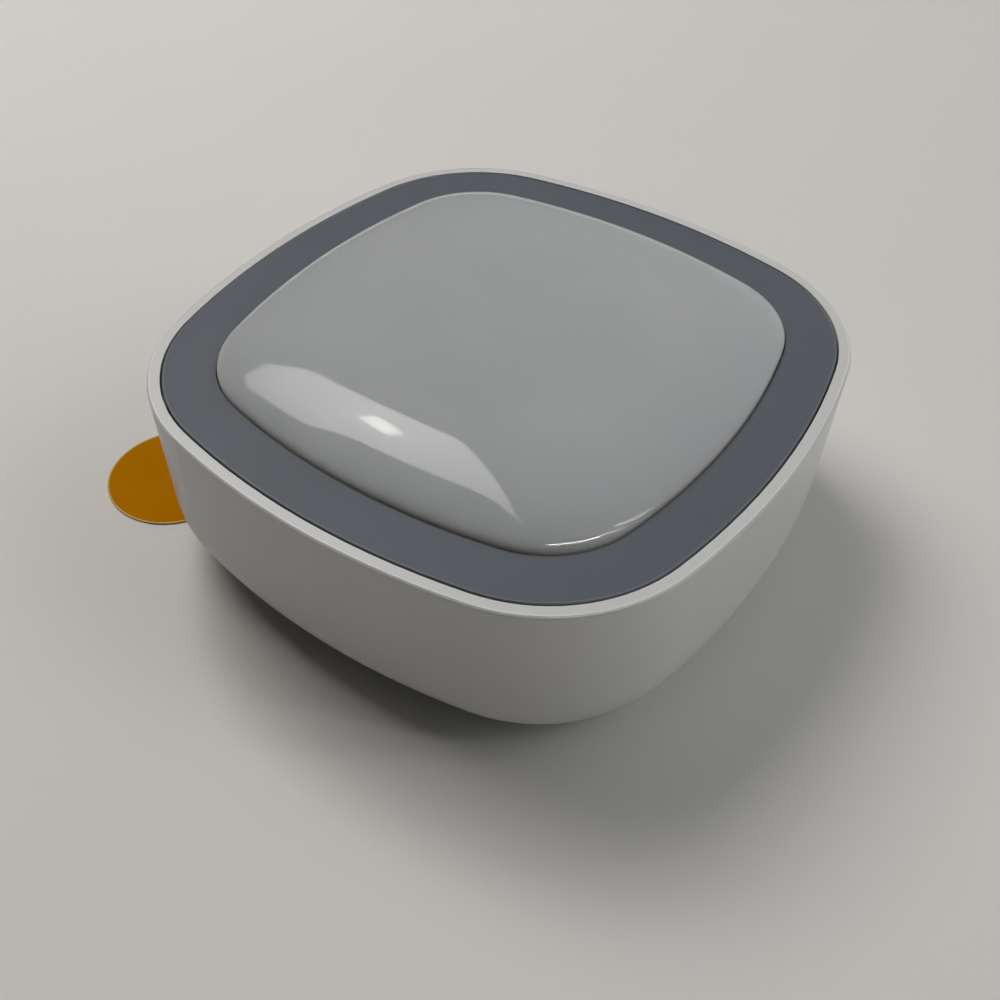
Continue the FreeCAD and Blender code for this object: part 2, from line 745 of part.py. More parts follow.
def retainer_stakes(body):
    pin = sketch_at(body, "stake", "dim.retainer_bottom - dim.stake_clear")
    add_circle(pin, "dim.stake_radius", "dim.stake_place")
    length = "dim.bezel_bottom - dim.retainer_bottom + dim.stake_clear + dim.sink / 2"
    feature = pad(body, pin, length)
    round_about(body, feature, SIDE_COUNT)
    head = sketch_at(body, "stake_head", "dim.retainer_bottom - dim.stake_radius")
    add_circle(head, "dim.stake_head", "dim.stake_place")
    feature = pad(body, head, "dim.stake_radius - dim.stake_clear / 2")
    round_about(body, feature, SIDE_COUNT)


def dome_sections(body, name, grow):
    """Lens outlines from the lens's side up to its middle, grown by the wall where inside.

    The profile is a blunt ellipse: height over rise is the sine of an angle, and half width
    over the widest is the cosine to the power of two over the bluntness.
    """
    sections = []
    for index, degrees in enumerate(SECTION_ANGLES):
        angle = math.radians(degrees)
        scale = f"{math.cos(angle):.6f} ^ (2 / dim.lens_bluntness)"
        level = f"dim.lens_base + (dim.lens_rise + {grow}) * {math.sin(angle):.6f}"
        sections.append(lens_outline(body, f"{name}_{index}", level, grow, scale))
    return sections


def lens_dome():
    body = new_body("lens_dome")
    flange = lens_outline(body, "flange", "dim.flange_bottom", "dim.flange_reach")
    pad(body, flange, "dim.flange_thickness")
    neck = lens_outline(body, "neck", "dim.flange_bottom")
    pad(body, neck, "dim.lens_base - dim.flange_bottom")
    loft(body, "AdditiveLoft", dome_sections(body, "outside", "0"))
    inside = lens_outline(
        body, "neck_inside", "dim.flange_bottom - dim.over", "-dim.lens_wall"
    )
    pocket(body, inside, "dim.lens_base - dim.flange_bottom + dim.over")
    loft(body, "SubtractiveLoft", dome_sections(body, "inside", "-dim.lens_wall"))
    ring_facets(body)


def inside_level(radius):
    """Height of the lens's inside at a radius, on the lens's blunt ellipse."""
    share = f"({radius} / (dim.lens_half - dim.lens_wall)) ^ dim.lens_bluntness"
    return f"dim.lens_base + (dim.lens_rise - dim.lens_wall) * sqrt(1 - {share})"


def ring_facets(body):
    """Sawtooth rings in the lens's inside, which bundle the heat of a passing body."""
    before = body.Shape.Volume
    teeth = upright_sketch(body, "facets")
    for index in range(1, FACET_COUNT + 1):
        inner = f"({index} * dim.facet_pitch)"
        outer = f"({index + 1} * dim.facet_pitch - dim.facet_land)"
        root = f"{inside_level(outer)} - dim.facet_root"
        peak = f"{inside_level(inner)} + dim.facet_depth"
        add_polygon(teeth, [(inner, root), (outer, root), (inner, peak)])
    feature = body.newObject("PartDesign::Groove", "facet_rings")
    feature.Profile = teeth
    feature.ReferenceAxis = (teeth, ["V_Axis"])
    feature.Angle = 360
    doc.recompute()
    if not body.Shape.Volume < before:
        raise ValueError("the ring facets cut nothing")


def lens_retainer():
    body = new_body("lens_retainer")
    ring = housing_outline(
        body, "ring", "dim.retainer_bottom", "dim.skirt_inner + dim.skirt_gap"
    )
    pad(body, ring, "dim.retainer_thickness")
    through = "dim.retainer_thickness + 2 * dim.over"
    window = lens_outline(
        body, "window", "dim.retainer_bottom - dim.over", "-dim.retainer_overlap"
    )
    pocket(body, window, through)
    hole = sketch_at(body, "stake_hole", "dim.retainer_bottom - dim.over")
    add_circle(hole, "dim.stake_radius + dim.stake_clear", "dim.stake_place")
    feature = pocket(body, hole, through)
    round_about(body, feature, SIDE_COUNT)


# base plate and pad


def base_plate():
    body = new_body("base_plate")
    disc = sketch_at(body, "disc", "dim.foot")
    add_circle(disc, "dim.base_radius")
    pad(body, disc, "dim.base_thickness")
    half = "dim.lug_width / 2"
    inner = "dim.base_radius - dim.lug_root"
    root = sketch_at(body, "lug_root", "dim.base_top - dim.sink", "dim.lug_azimuth")
    add_rectangle(root, inner, "dim.base_radius - dim.twist_gap", f"-{half}", half)
    feature = pad(body, root, "dim.lug_top - dim.base_top + dim.sink")
    round_about(body, feature, LUG_COUNT)
    lug = sketch_at(body, "lug", "dim.lug_under", "dim.lug_azimuth")
    add_rectangle(lug, inner, "dim.lug_end", f"-{half}", half)
    feature = pad(body, lug, "dim.lug_thickness")
    round_about(body, feature, LUG_COUNT)
    hole = sketch_at(body, "screw_hole", "dim.foot - dim.over")
    recess = sketch_at(body, "screw_recess", "dim.base_top - dim.counterbore_depth")
    for sign in ("", "-"):
        place = f"{sign}dim.screw_x"
        add_circle(hole, "dim.screw_hole / 2", place)
        add_circle(recess, "dim.counterbore / 2", place)
    pocket(body, hole, "dim.base_thickness + 2 * dim.over")
    pocket(body, recess, "dim.counterbore_depth + dim.over")


def adhesive_pad():
    body = new_body("adhesive_pad")
    disc = sketch_at(body, "foam", "0")
    add_circle(disc, "dim.pad_radius")
    pad(body, disc, "dim.pad_thickness")


# cell, contacts and pull tab


def coin_cell():
    body = new_body("coin_cell")
    can = sketch_at(body, "can", "dim.cell_bottom")
    add_circle(can, "dim.cell_radius")
    pad(body, can, "dim.cell_thickness - dim.cap_height")
    round_edges(body, "dim.cell_bottom", "dim.cap_height")
    cap = sketch_at(body, "cap", "dim.cell_top - dim.cap_height - dim.sink")
    add_circle(cap, "dim.cap_radius")
    pad(body, cap, "dim.cap_height + dim.sink")
    round_edges(body, "dim.cell_top", "dim.cap_height / 2")


def strip(body, name, corners, width):
    """A bent strip: its side view, given width both ways."""
    profile = upright_sketch(body, name)
    add_polygon(profile, corners)
    pad(body, profile, width, midplane=True)


def turn_body(body, formula):
    """Turns a finished body about Z."""
    body.Placement = FreeCAD.Placement(FreeCAD.Vector(), FreeCAD.Rotation(UP, value(formula)))
    body.setExpression("Placement.Rotation.Angle", formula)


def positive_contact():
    """A finger under the cell, square to the film, with a leg up to the board."""
    body = new_body("positive_contact")
    leg = "dim.cup_outer + dim.contact_leg"
    outside = f"{leg} + dim.contact_thickness"
    foot_end = f"{outside} + dim.contact_foot"
    corners = [
        ("dim.contact_tip", "dim.finger_bottom"),
        (outside, "dim.finger_bottom"),
        (outside, "dim.board_bottom - dim.contact_thickness"),
        (foot_end, "dim.board_bottom - dim.contact_thickness"),
        (foot_end, "dim.board_bottom"),
        (leg, "dim.board_bottom"),
        (leg, "dim.finger_top"),
        ("dim.contact_tip", "dim.finger_top"),
    ]
    strip(body, "finger", corners, "dim.contact_width")
    turn_body(body, "dim.tab_azimuth - 90")


def negative_contact():
    """A leaf that springs down from the board to the cell's cap."""
    body = new_body("negative_contact")
    thick = "dim.contact_thickness"
    touch = "dim.cell_top + dim.cell_seat"
    corners = [
        ("-dim.leaf_end", "dim.board_bottom"),
        ("-dim.leaf_end", f"dim.board_bottom - {thick}"),
        ("-dim.leaf_bend", f"dim.board_bottom - {thick}"),
        ("dim.leaf_touch", touch),
        ("dim.leaf_tip", touch),
        ("dim.leaf_tip", f"{touch} + {thick}"),
        ("dim.leaf_touch + dim.leaf_shift", f"{touch} + {thick}"),
        ("-dim.leaf_bend + dim.leaf_shift", "dim.board_bottom"),
    ]
    strip(body, "leaf", corners, "dim.leaf_width")


def pull_tab():
    body = new_body("pull_tab")
    slope_end = "dim.bend_start + dim.bend_run"
    grip_top = "dim.tab_height + dim.film_thickness"
    corners = [
        ("-dim.film_tail", "dim.film_bottom"),
        ("dim.bend_start", "dim.film_bottom"),
        (slope_end, "dim.tab_height"),
        ("dim.tab_reach", "dim.tab_height"),
        ("dim.tab_reach", grip_top),
        (slope_end, grip_top),
        ("dim.bend_start", "dim.film_top"),
        ("-dim.film_tail", "dim.film_top"),
    ]
    strip(body, "film", corners, "dim.tab_neck")
    grip = sketch_at(body, "grip", "dim.tab_height")
    add_circle(grip, "dim.tab_radius", "dim.tab_reach")
    pad(body, grip, "dim.film_thickness")
    turn_body(body, "dim.tab_azimuth")


# tray, board and button


def battery_tray():
    body = new_body("battery_tray")
    plate = housing_outline(body, "plate", "dim.tray_bottom", "dim.wall + dim.tray_gap")
    pad(body, plate, "dim.tray_plate")
    cup = sketch_at(body, "cup", "dim.cup_bottom")
    add_circle(cup, "dim.cup_outer")
    pad(body, cup, "dim.tray_bottom - dim.cup_bottom + dim.sink")
    bore = sketch_at(body, "cup_bore", "dim.cup_bottom - dim.over")
    add_circle(bore, "dim.cup_radius")
    pocket(body, bore, "dim.tray_bottom - dim.cup_bottom + dim.over")
    cell_hooks(body)
    tray_windows(body)
    board_seats(body)
    button_well(body)


def cell_hooks(body):
    """Two hooks on the cup's edge, across from the positive finger."""
    half = "dim.hook_width / 2"
    for index, spread in enumerate(("- dim.hook_spread", "+ dim.hook_spread")):
        turn = f"dim.tab_azimuth + 90 {spread}"
        stalk = sketch_at(body, f"hook_stalk_{index}", "dim.finger_bottom", turn)
        outer = "dim.cup_outer - dim.hook_inset"
        add_rectangle(stalk, "dim.cup_radius + dim.hook_inset", outer, f"-{half}", half)
        pad(body, stalk, "dim.cup_bottom - dim.finger_bottom + dim.sink")
        hook = sketch_at(body, f"hook_{index}", "dim.finger_bottom", turn)
        inner = "dim.cup_radius - dim.hook_reach"
        add_rectangle(hook, inner, "dim.cup_radius + dim.sink", f"-{half}", half)
        pad(body, hook, "dim.cell_bottom - dim.cell_seat - dim.finger_bottom")


def tray_windows(body):
    """Openings for the two contacts."""
    level = "dim.tray_bottom - dim.over"
    depth = "dim.tray_plate + 2 * dim.over"
    leaf = sketch_at(body, "leaf_window", level)
    reach = "(dim.leaf_end + dim.contact_clear)"
    side = "(dim.leaf_width / 2 + dim.contact_clear)"
    add_rectangle(leaf, f"-{reach}", reach, f"-{side}", side)
    pocket(body, leaf, depth)
    leg = sketch_at(body, "leg_window", level, "dim.tab_azimuth - 90")
    near = "dim.cup_outer + dim.contact_leg"
    far = f"{near} + dim.contact_thickness + dim.contact_foot + dim.contact_clear"
    half = "(dim.contact_width / 2 + dim.contact_clear)"
    add_rectangle(leg, f"{near} - dim.contact_clear", far, f"-{half}", half)
    pocket(body, leg, depth)


def board_seats(body):
    seat = sketch_at(body, "board_seat", "dim.tray_top - dim.sink")
    hole = sketch_at(body, "seat_hole", "dim.tray_bottom - dim.over")
    for x, y in corners_of("dim.boss_x", "dim.boss_y"):
        add_circle(seat, "dim.boss_radius", x, y)
        add_circle(hole, "dim.screw_radius + dim.screw_pass", x, y)
    pad(body, seat, "dim.tray_pad + dim.sink")
    pocket(body, hole, "dim.tray_plate + dim.tray_pad + 2 * dim.over")


def button_well(body):
    well = sketch_at(body, "well", "dim.well_bottom")
    add_circle(well, "dim.well_radius + dim.well_wall", 0, "dim.button_y")
    pad(body, well, "dim.tray_bottom - dim.well_bottom + dim.sink")
    bore = sketch_at(body, "well_bore", "dim.well_floor")
    add_circle(bore, "dim.well_radius", 0, "dim.button_y")
    pocket(body, bore, "dim.tray_top - dim.well_floor + dim.over")
    mouth = sketch_at(body, "well_mouth", "dim.well_bottom - dim.over")
    add_circle(mouth, "dim.button_radius + dim.button_clear", 0, "dim.button_y")
    pocket(body, mouth, "dim.well_lip + 2 * dim.over")
    window = sketch_at(body, "switch_window", "dim.switch_bottom - dim.button_clear")
    half = "(dim.switch_width / 2 + dim.switch_clear)"
    add_rectangle(
        window, f"-{half}", half, f"dim.button_y - {half}", f"dim.button_y + {half}"
    )
    pocket(body, window, "dim.tray_top - dim.switch_bottom + dim.over")


def main_board():
    body = new_body("main_board")
    board = housing_outline(body, "board", "dim.board_bottom", "dim.board_inset")
    pad(body, board, "dim.board_thickness")
    holes = sketch_at(body, "board_holes", "dim.board_bottom - dim.over")
    for x, y in corners_of("dim.boss_x", "dim.boss_y"):
        add_circle(holes, "dim.screw_radius + dim.screw_pass", x, y)
    for x, y in lead_places():
        add_circle(holes, "2 * dim.lead_radius", x, y)
    pocket(body, holes, "dim.board_thickness + 2 * dim.over")


def lead_places():
    """The sensor's three leads, on a circle."""
    places = []
    for step in range(LEAD_COUNT):
        angle = math.radians(45 + 90 * step)
        places.append((
            f"dim.lead_circle * {math.cos(angle):.6f}",
            f"dim.lead_circle * {math.sin(angle):.6f}",
        ))
    return places


def board_screws():
    """Four screws with crossed slots, from the board into the housing's bosses."""
    screws = []
    for index, (x, y) in enumerate(corners_of("dim.boss_x", "dim.boss_y")):
        shank_length = "dim.board_top - dim.tray_bottom + dim.screw_bite"
        shank_bottom = "dim.tray_bottom - dim.screw_bite"
        shank = cylinder(f"shank_{index}", "dim.screw_radius", shank_length, x, y, shank_bottom)
        head = cylinder(
            f"head_{index}", "dim.head_radius", "dim.head_height", x, y, "dim.board_top"
        )
        blank = fuse(f"screw_blank_{index}", [shank, head])
        floor = "dim.board_top + dim.head_height / 2"
        sides = ("dim.slot_length", "dim.slot_width")
        slots = [
            block(f"slot_{index}_{turn}", length, width, "dim.head_height", x, y, floor)
            for turn, (length, width) in enumerate((sides, sides[::-1]))
        ]
        screws.append(cut(f"screw_{index}", blank, slots))
    group("board_screws", screws)


def pair_button():
    body = new_body("pair_button")
    collar = sketch_at(body, "collar", "dim.collar_bottom")
    add_circle(collar, "dim.button_flange", 0, "dim.button_y")
    pad(body, collar, "dim.button_collar")
    rod = sketch_at(body, "rod", "dim.collar_bottom - dim.button_length")
    add_circle(rod, "dim.button_radius", 0, "dim.button_y")
    pad(body, rod, "dim.button_length + dim.sink")
    round_edges(body, "dim.collar_bottom - dim.button_length", "dim.button_round")


def push_switch():
    stem_top = "dim.stem_bottom + dim.stem_length"
    case = block(
        "switch_block", "dim.switch_width", "dim.switch_width", "dim.switch_height",
        "0", "dim.button_y", "dim.switch_bottom",
    )
    bore = cylinder(
        "switch_bore",
        "dim.stem_radius + dim.button_clear",
        f"{stem_top} + dim.button_travel + dim.button_clear - dim.switch_bottom + dim.over",
        y="dim.button_y",
        z="dim.switch_bottom - dim.over",
    )
    keep(cut("switch_case", case, [bore]), "switch_case")
    stem = cylinder(
        "switch_stem",
        "dim.stem_radius",
        "dim.stem_length",
        y="dim.button_y",
        z="dim.stem_bottom",
    )
    keep(stem, "switch_stem")


# sensor


def pir_sensor():
    spacer = cylinder("spacer_disc", "dim.spacer_radius", "dim.spacer_height", z="dim.board_top")
    bores = [
        cylinder(
            f"spacer_bore_{index}",
            "2 * dim.lead_radius",
            "dim.spacer_height + 2 * dim.over",
            x,
            y,
            "dim.board_top - dim.over",
        )
        for index, (x, y) in enumerate(lead_places())
    ]
    keep(cut("pir_spacer", spacer, bores), "pir_spacer")
    header = cylinder("pir_header", "dim.header_radius", "dim.header_height", z="dim.header_bottom")
    keep(header, "pir_header")

    can = cylinder("can_outside", "dim.can_radius", "dim.can_height", z="dim.can_bottom")
    room = cylinder(
        "can_inside",
        "dim.can_radius - dim.can_wall",
        "dim.can_height - dim.can_wall",
        z="dim.can_bottom",
    )
    window = block(
        "can_window",
        "dim.window_length",
        "dim.window_width",
        "2 * dim.can_wall",
        z="dim.can_top - 1.5 * dim.can_wall",
    )
    keep(cut("pir_can", can, [room, window]), "pir_can")
    filter_plate = block(
        "pir_window",
        "dim.window_length + 2 * dim.filter_lap",
        "dim.window_width + 2 * dim.filter_lap",
        "dim.filter_thickness",
        z="dim.can_top - dim.can_wall - dim.filter_thickness",
    )
    keep(filter_plate, "pir_window")
    element = block(
        "pir_element",
        "dim.window_length",
        "dim.window_width",
        "dim.header_height",
        z="dim.can_bottom",
    )
    keep(element, "pir_element")

    lead_bottom = "dim.board_bottom - dim.lead_tail"
    lead_length = f"dim.header_bottom - ({lead_bottom})"
    leads = [
        cylinder(f"lead_{index}", "dim.lead_radius", lead_length, x, y, lead_bottom)
        for index, (x, y) in enumerate(lead_places())
    ]
    group("pir_leads", leads)


# electronics


def radio_module():
    """A small board with a lidded radio and a meandering copper track at its free end."""
    top = "dim.board_top + dim.module_thickness"
    board = block(
        "radio_board",
        "dim.module_length",
        "dim.module_width",
        "dim.module_thickness",
        y="dim.module_y",
        z="dim.board_top",
    )
    keep(board, "radio_board")
    shield_x = "(dim.shield_length - dim.module_length) / 2 + dim.shield_margin"
    shield_width = "dim.module_width - 2 * dim.shield_margin"
    lid = block(
        "shield_outside",
        "dim.shield_length",
        shield_width,
        "dim.shield_height",
        shield_x,
        "dim.module_y",
        top,
    )
    room = block(
        "shield_inside",
        "dim.shield_length - 2 * dim.shield_wall",
        f"{shield_width} - 2 * dim.shield_wall",
        "dim.shield_height - dim.shield_wall",
        shield_x,
        "dim.module_y",
        top,
    )
    keep(cut("radio_shield", lid, [room]), "radio_shield")
    keep(fuse("radio_antenna", aerial_track(top)), "radio_antenna")


def aerial_track(top):
    """Parallel bars, joined at alternate ends into one track."""
    step = f"(dim.module_width - 2 * dim.aerial_margin) / {AERIAL_BARS - 1}"
    middle_x = "dim.module_length / 2 - dim.aerial_edge"
    end = "(dim.track_length - dim.track_width) / 2"
    pieces = []
    for index in range(AERIAL_BARS):
        y = f"dim.module_y + {index - (AERIAL_BARS - 1) / 2} * {step}"
        pieces.append(
            block(
                f"track_{index}",
                "dim.track_length",
                "dim.track_width",
                "dim.track_thickness",
                middle_x,
                y,
                top,
            )
        )
    for index in range(AERIAL_BARS - 1):
        side = "+" if index % 2 else "-"
        y = f"dim.module_y + {index - AERIAL_BARS / 2 + 1} * {step}"
        pieces.append(
            block(
                f"link_{index}",
                "dim.track_width",
                f"{step} + dim.track_width",
                "dim.track_thickness",
                f"{middle_x} {side} {end}",
                y,
                top,
            )
        )
    return pieces


def amplifier_chip():
    chip_x = "-(dim.board_half - dim.chip_edge)"
    chip = block(
        "amplifier_chip",
        "dim.chip_length",
        "dim.chip_width",
        "dim.chip_height",
        chip_x,
        "dim.chip_y",
        "dim.board_top + dim.chip_lift",
    )
    keep(chip, "amplifier_chip")
    legs = []
    for side, sign in (("low", "-"), ("high", "+")):
        for index in range(LEGS_A_SIDE):
            x = f"{chip_x} + {index - (LEGS_A_SIDE - 1) / 2} * dim.leg_pitch"
            legs.append(chip_leg(f"leg_{side}_{index}", x, sign))
    group("chip_legs", legs)


def chip_leg(name, x, sign):
    """One bent leg: a level shoulder, a riser and a foot, away from the chip."""
    knee = "(dim.chip_width / 2 + dim.leg_shoulder)"
    shoulder = block(
        f"{name}_shoulder",
        "dim.leg_width",
        "dim.leg_shoulder",
        "dim.leg_thickness",
        x,
        f"dim.chip_y {sign} ({knee} - dim.leg_shoulder / 2)",
        "dim.board_top + dim.leg_knee - dim.leg_thickness",
    )
    riser = block(
        f"{name}_riser",
        "dim.leg_width",
        "dim.leg_thickness",
        "dim.leg_knee",
        x,
        f"dim.chip_y {sign} {knee}",
        "dim.board_top",
    )
    foot = block(
        f"{name}_foot",
        "dim.leg_width",
        "dim.leg_foot",
        "dim.leg_thickness",
        x,
        f"dim.chip_y {sign} ({knee} + dim.leg_foot / 2)",
        "dim.board_top",
    )
    return fuse(name, [shoulder, riser, foot])


def passives():
    """A row of small capacitors, a row of small resistors and one large capacitor."""
    rows = (
        ("chip_capacitors", CAPACITOR_COUNT, "dim.capacitor_y", "dim.capacitor_height"),
        ("chip_resistors", RESISTOR_COUNT, "dim.resistor_y", "dim.resistor_height"),
    )
    for label, count, y, height in rows:
        pieces = []
        for index in range(count):
            x = f"{index - (count - 1) / 2} * dim.passive_pitch"
            pieces.append(
                block(
                    f"{label}_{index}",
                    "dim.passive_length",
                    "dim.passive_width",
                    height,
                    x,
                    y,
                    "dim.board_top",
                )
            )
        group(label, pieces)
    bulk = block(
        "bulk_capacitor",
        "dim.bulk_length",
        "dim.bulk_width",
        "dim.bulk_height",
        "dim.board_half - dim.bulk_edge",
        "dim.bulk_y",
        "dim.board_top",
    )
    keep(bulk, "bulk_capacitor")


def lights():
    """A lamp with a cupped top, and a light sensor as far out on the other side."""
    lamp = block(
        "lamp_block",
        "dim.lamp_length",
        "dim.lamp_width",
        "dim.lamp_height",
        "dim.lamp_x",
        "dim.lamp_y",
        "dim.board_top",
    )
    cone = doc.addObject("Part::Cone", "lamp_cone")
    cone.setExpression("Radius1", "dim.lamp_floor")
    cone.setExpression("Radius2", "dim.lamp_floor + dim.lamp_flare")
    cone.setExpression("Height", "dim.lamp_cup")
    place_at(cone, "dim.lamp_x", "dim.lamp_y", "dim.board_top + dim.lamp_height - dim.lamp_cup")
    keep(cut("status_led", lamp, [cone]), "status_led")
    light = block(
        "light_sensor",
        "dim.light_length",
        "dim.light_width",
        "dim.light_height",
        "-dim.lamp_x",
        "dim.lamp_y",
        "dim.board_top",
    )
    keep(light, "light_sensor")


def check_all():
    """Every feature is up to date and every piece is a valid solid."""
    for item in doc.Objects:
        if "Invalid" in item.State or "Error" in item.State:
            raise ValueError(f"{item.Name} failed: {item.State}")
    for item in nodes:
        if item.Shape.isNull() or not item.Shape.isValid() or not item.Shape.Solids:
            raise ValueError(f"{item.Label} is not a valid solid")


def write_parts():
    os.makedirs("parts", exist_ok=True)
    for item in nodes:
        item.Shape.exportStep(f"parts/{item.Label}.step")
        box = item.Shape.BoundBox
        print(
            f"{item.Label}: {len(item.Shape.Solids)} solids, {item.Shape.Volume:.1f} mm3,"
            f" z {box.ZMin:.2f} to {box.ZMax:.2f}"
        )


sheet = make_sheet()
housing()
bezel_ring()
lens_dome()
lens_retainer()
base_plate()
adhesive_pad()
coin_cell()
positive_contact()
negative_contact()
pull_tab()
battery_tray()
main_board()
board_screws()
pair_button()
push_switch()
pir_sensor()
radio_module()
amplifier_chip()
passives()
lights()
doc.recompute()
check_all()
write_parts()
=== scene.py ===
from math import atan2, cos, pi, radians, sin, sqrt

import bmesh
import bpy
from mathutils import Matrix, Vector


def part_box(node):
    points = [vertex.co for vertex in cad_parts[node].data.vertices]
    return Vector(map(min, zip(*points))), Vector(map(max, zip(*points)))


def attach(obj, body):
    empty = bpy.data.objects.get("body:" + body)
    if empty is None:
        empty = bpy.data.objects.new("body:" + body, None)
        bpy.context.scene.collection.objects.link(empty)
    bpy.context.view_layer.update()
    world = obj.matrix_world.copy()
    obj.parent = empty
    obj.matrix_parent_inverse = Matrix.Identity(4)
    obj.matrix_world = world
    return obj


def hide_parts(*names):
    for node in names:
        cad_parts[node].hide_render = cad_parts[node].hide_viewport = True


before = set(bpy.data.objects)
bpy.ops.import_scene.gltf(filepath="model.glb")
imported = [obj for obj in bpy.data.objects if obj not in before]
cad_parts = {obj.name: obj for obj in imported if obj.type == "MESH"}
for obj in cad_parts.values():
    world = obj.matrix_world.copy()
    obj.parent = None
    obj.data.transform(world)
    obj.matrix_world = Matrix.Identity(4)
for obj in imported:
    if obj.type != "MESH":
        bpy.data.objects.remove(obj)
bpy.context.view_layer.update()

# A motion detector with a milky lens in a grey ring, in a white housing, with an amber film.
# Pieces are modelled in millimetres in the part's frame and scaled to metres when finished.
MM = 0.001


# Camera. It stands where the photograph's did.
CAMERA_AT = Vector((0.0513, -0.0762, 0.0925))
CAMERA_AZIMUTH = radians(34.15)
CAMERA_TILT = radians(90 - 45.6)
CAMERA_ROLL = radians(1.45)
CAMERA_LENS = 39.77
CAMERA_SENSOR = 36
CAMERA_NEAR = 0.001


def set_camera():
    data = bpy.data.cameras.new("camera")
    data.lens = CAMERA_LENS
    data.sensor_width = CAMERA_SENSOR
    data.clip_start = CAMERA_NEAR
    camera = bpy.data.objects.new("camera", data)
    bpy.context.scene.collection.objects.link(camera)
    camera.matrix_world = (
        Matrix.Translation(CAMERA_AT)
        @ Matrix.Rotation(CAMERA_AZIMUTH, 4, "Z")
        @ Matrix.Rotation(CAMERA_TILT, 4, "X")
        @ Matrix.Rotation(CAMERA_ROLL, 4, "Z")
    )
    bpy.context.scene.camera = camera


# Materials
HEIGHT_WAVER = 0.08


class Finish:
    """A Principled material, with short calls for the patterns that feed it.

    Patterns read Object coordinates scaled to millimetres, so a pattern's size is a real size.
    """

    def __init__(self, name, colour, roughness, metallic=0.0, **sockets):
        self.material = bpy.data.materials.new(name)
        self.material.use_nodes = True
        self.tree = self.material.node_tree
        self.shader = self.tree.nodes["Principled BSDF"]
        self.colour = colour
        self.set_socket("Base Color", (*colour, 1))
        self.set_socket("Roughness", roughness)
        self.set_socket("Metallic", metallic)
        for socket, value in sockets.items():
            self.set_socket(socket.replace("_", " "), value)
        coordinates = self.node("ShaderNodeTexCoord")
        self.place = self.stretch(coordinates.outputs["Object"], [1 / MM] * 3)

    def node(self, kind, **settings):
        made = self.tree.nodes.new(kind)
        for setting, value in settings.items():
            setattr(made, setting, value)
        return made

    def link(self, source, target):
        self.tree.links.new(source, target)

    def set_socket(self, name, value):
        self.shader.inputs[name].default_value = value

    def stretch(self, place, scale):
        mapping = self.node("ShaderNodeMapping")
        mapping.inputs["Scale"].default_value = scale
        self.link(place, mapping.inputs["Vector"])
        return mapping.outputs["Vector"]

    def outwards(self):
        """Coordinates that run with the distance from the Z axis, for turned and drawn metal."""
        flat = self.node("ShaderNodeVectorMath", operation="MULTIPLY")
        flat.inputs[1].default_value = (1, 1, 0)
        self.link(self.place, flat.inputs[0])
        length = self.node("ShaderNodeVectorMath", operation="LENGTH")
        self.link(flat.outputs["Vector"], length.inputs[0])
        joined = self.node("ShaderNodeCombineXYZ")
        self.link(length.outputs["Value"], joined.inputs["X"])
        return joined.outputs["Vector"]

    def noise(self, size, detail=2.0, place=None):
        """Soft random pattern whose features are about size millimetres."""
        made = self.node("ShaderNodeTexNoise")
        made.inputs["Scale"].default_value = 1 / size
        made.inputs["Detail"].default_value = detail
        self.link(self.place if place is None else place, made.inputs["Vector"])
        return made.outputs["Fac"]

    def cells(self, size):
        """Packed cells about size millimetres across; the value grows from each cell's middle."""
        made = self.node("ShaderNodeTexVoronoi", feature="F1")
        made.inputs["Scale"].default_value = 1 / size
        self.link(self.place, made.inputs["Vector"])
        return made.outputs["Distance"]

    def height(self, low, high):
        """Grows from 0 to 1 between two levels of a piece, with a slight waver."""
        parts = self.node("ShaderNodeSeparateXYZ")
        self.link(self.place, parts.inputs["Vector"])
        level = self.spread(parts.outputs["Z"], 0, 1, low, high)
        waver = self.node("ShaderNodeMath", operation="ADD")
        self.link(level, waver.inputs[0])
        self.link(self.spread(self.noise(9, 3), -HEIGHT_WAVER, HEIGHT_WAVER), waver.inputs[1])
        return waver.outputs["Value"]

    def spread(self, pattern, low, high, start=0.3, end=0.7):
        """Maps the middle of a pattern onto the values from low to high."""
        made = self.node("ShaderNodeMapRange")
        made.inputs["From Min"].default_value = start
        made.inputs["From Max"].default_value = end
        made.inputs["To Min"].default_value = low
        made.inputs["To Max"].default_value = high
        self.link(pattern, made.inputs["Value"])
        return made.outputs["Result"]

    def tint(self, pattern, low, high, start=0.3, end=0.7):
        """Base colour between two shades, by a pattern."""
        ramp = self.node("ShaderNodeValToRGB")
        ramp.color_ramp.elements[0].position = start
        ramp.color_ramp.elements[0].color = (*low, 1)
        ramp.color_ramp.elements[1].position = end
        ramp.color_ramp.elements[1].color = (*high, 1)
        self.link(pattern, ramp.inputs["Fac"])
        self.link(ramp.outputs["Color"], self.shader.inputs["Base Color"])

    def shade(self, pattern, depth):
        """Base colour made up to depth lighter or darker, by a pattern."""
        low = [channel * (1 - depth) for channel in self.colour]
        high = [min(1, channel * (1 + depth)) for channel in self.colour]
        self.tint(pattern, low, high)

    def gloss(self, pattern, low, high):
        """Roughness from low to high, by a pattern."""
        self.link(self.spread(pattern, low, high), self.shader.inputs["Roughness"])

    def glow(self, colour, pattern, low, high, start=0.0, end=1.0):
        """Light of its own, from low to high, by a pattern."""
        self.set_socket("Emission Color", (*colour, 1))
        strength = self.spread(pattern, low, high, start, end)
        self.link(strength, self.shader.inputs["Emission Strength"])

    def nearness(self, reach):
        """Falls from 1 at the piece's origin to 0 at a reach in millimetres."""
        made = self.node("ShaderNodeTexGradient", gradient_type="SPHERICAL")
        self.link(self.stretch(self.place, [1 / reach] * 3), made.inputs["Vector"])
        return made.outputs["Fac"]

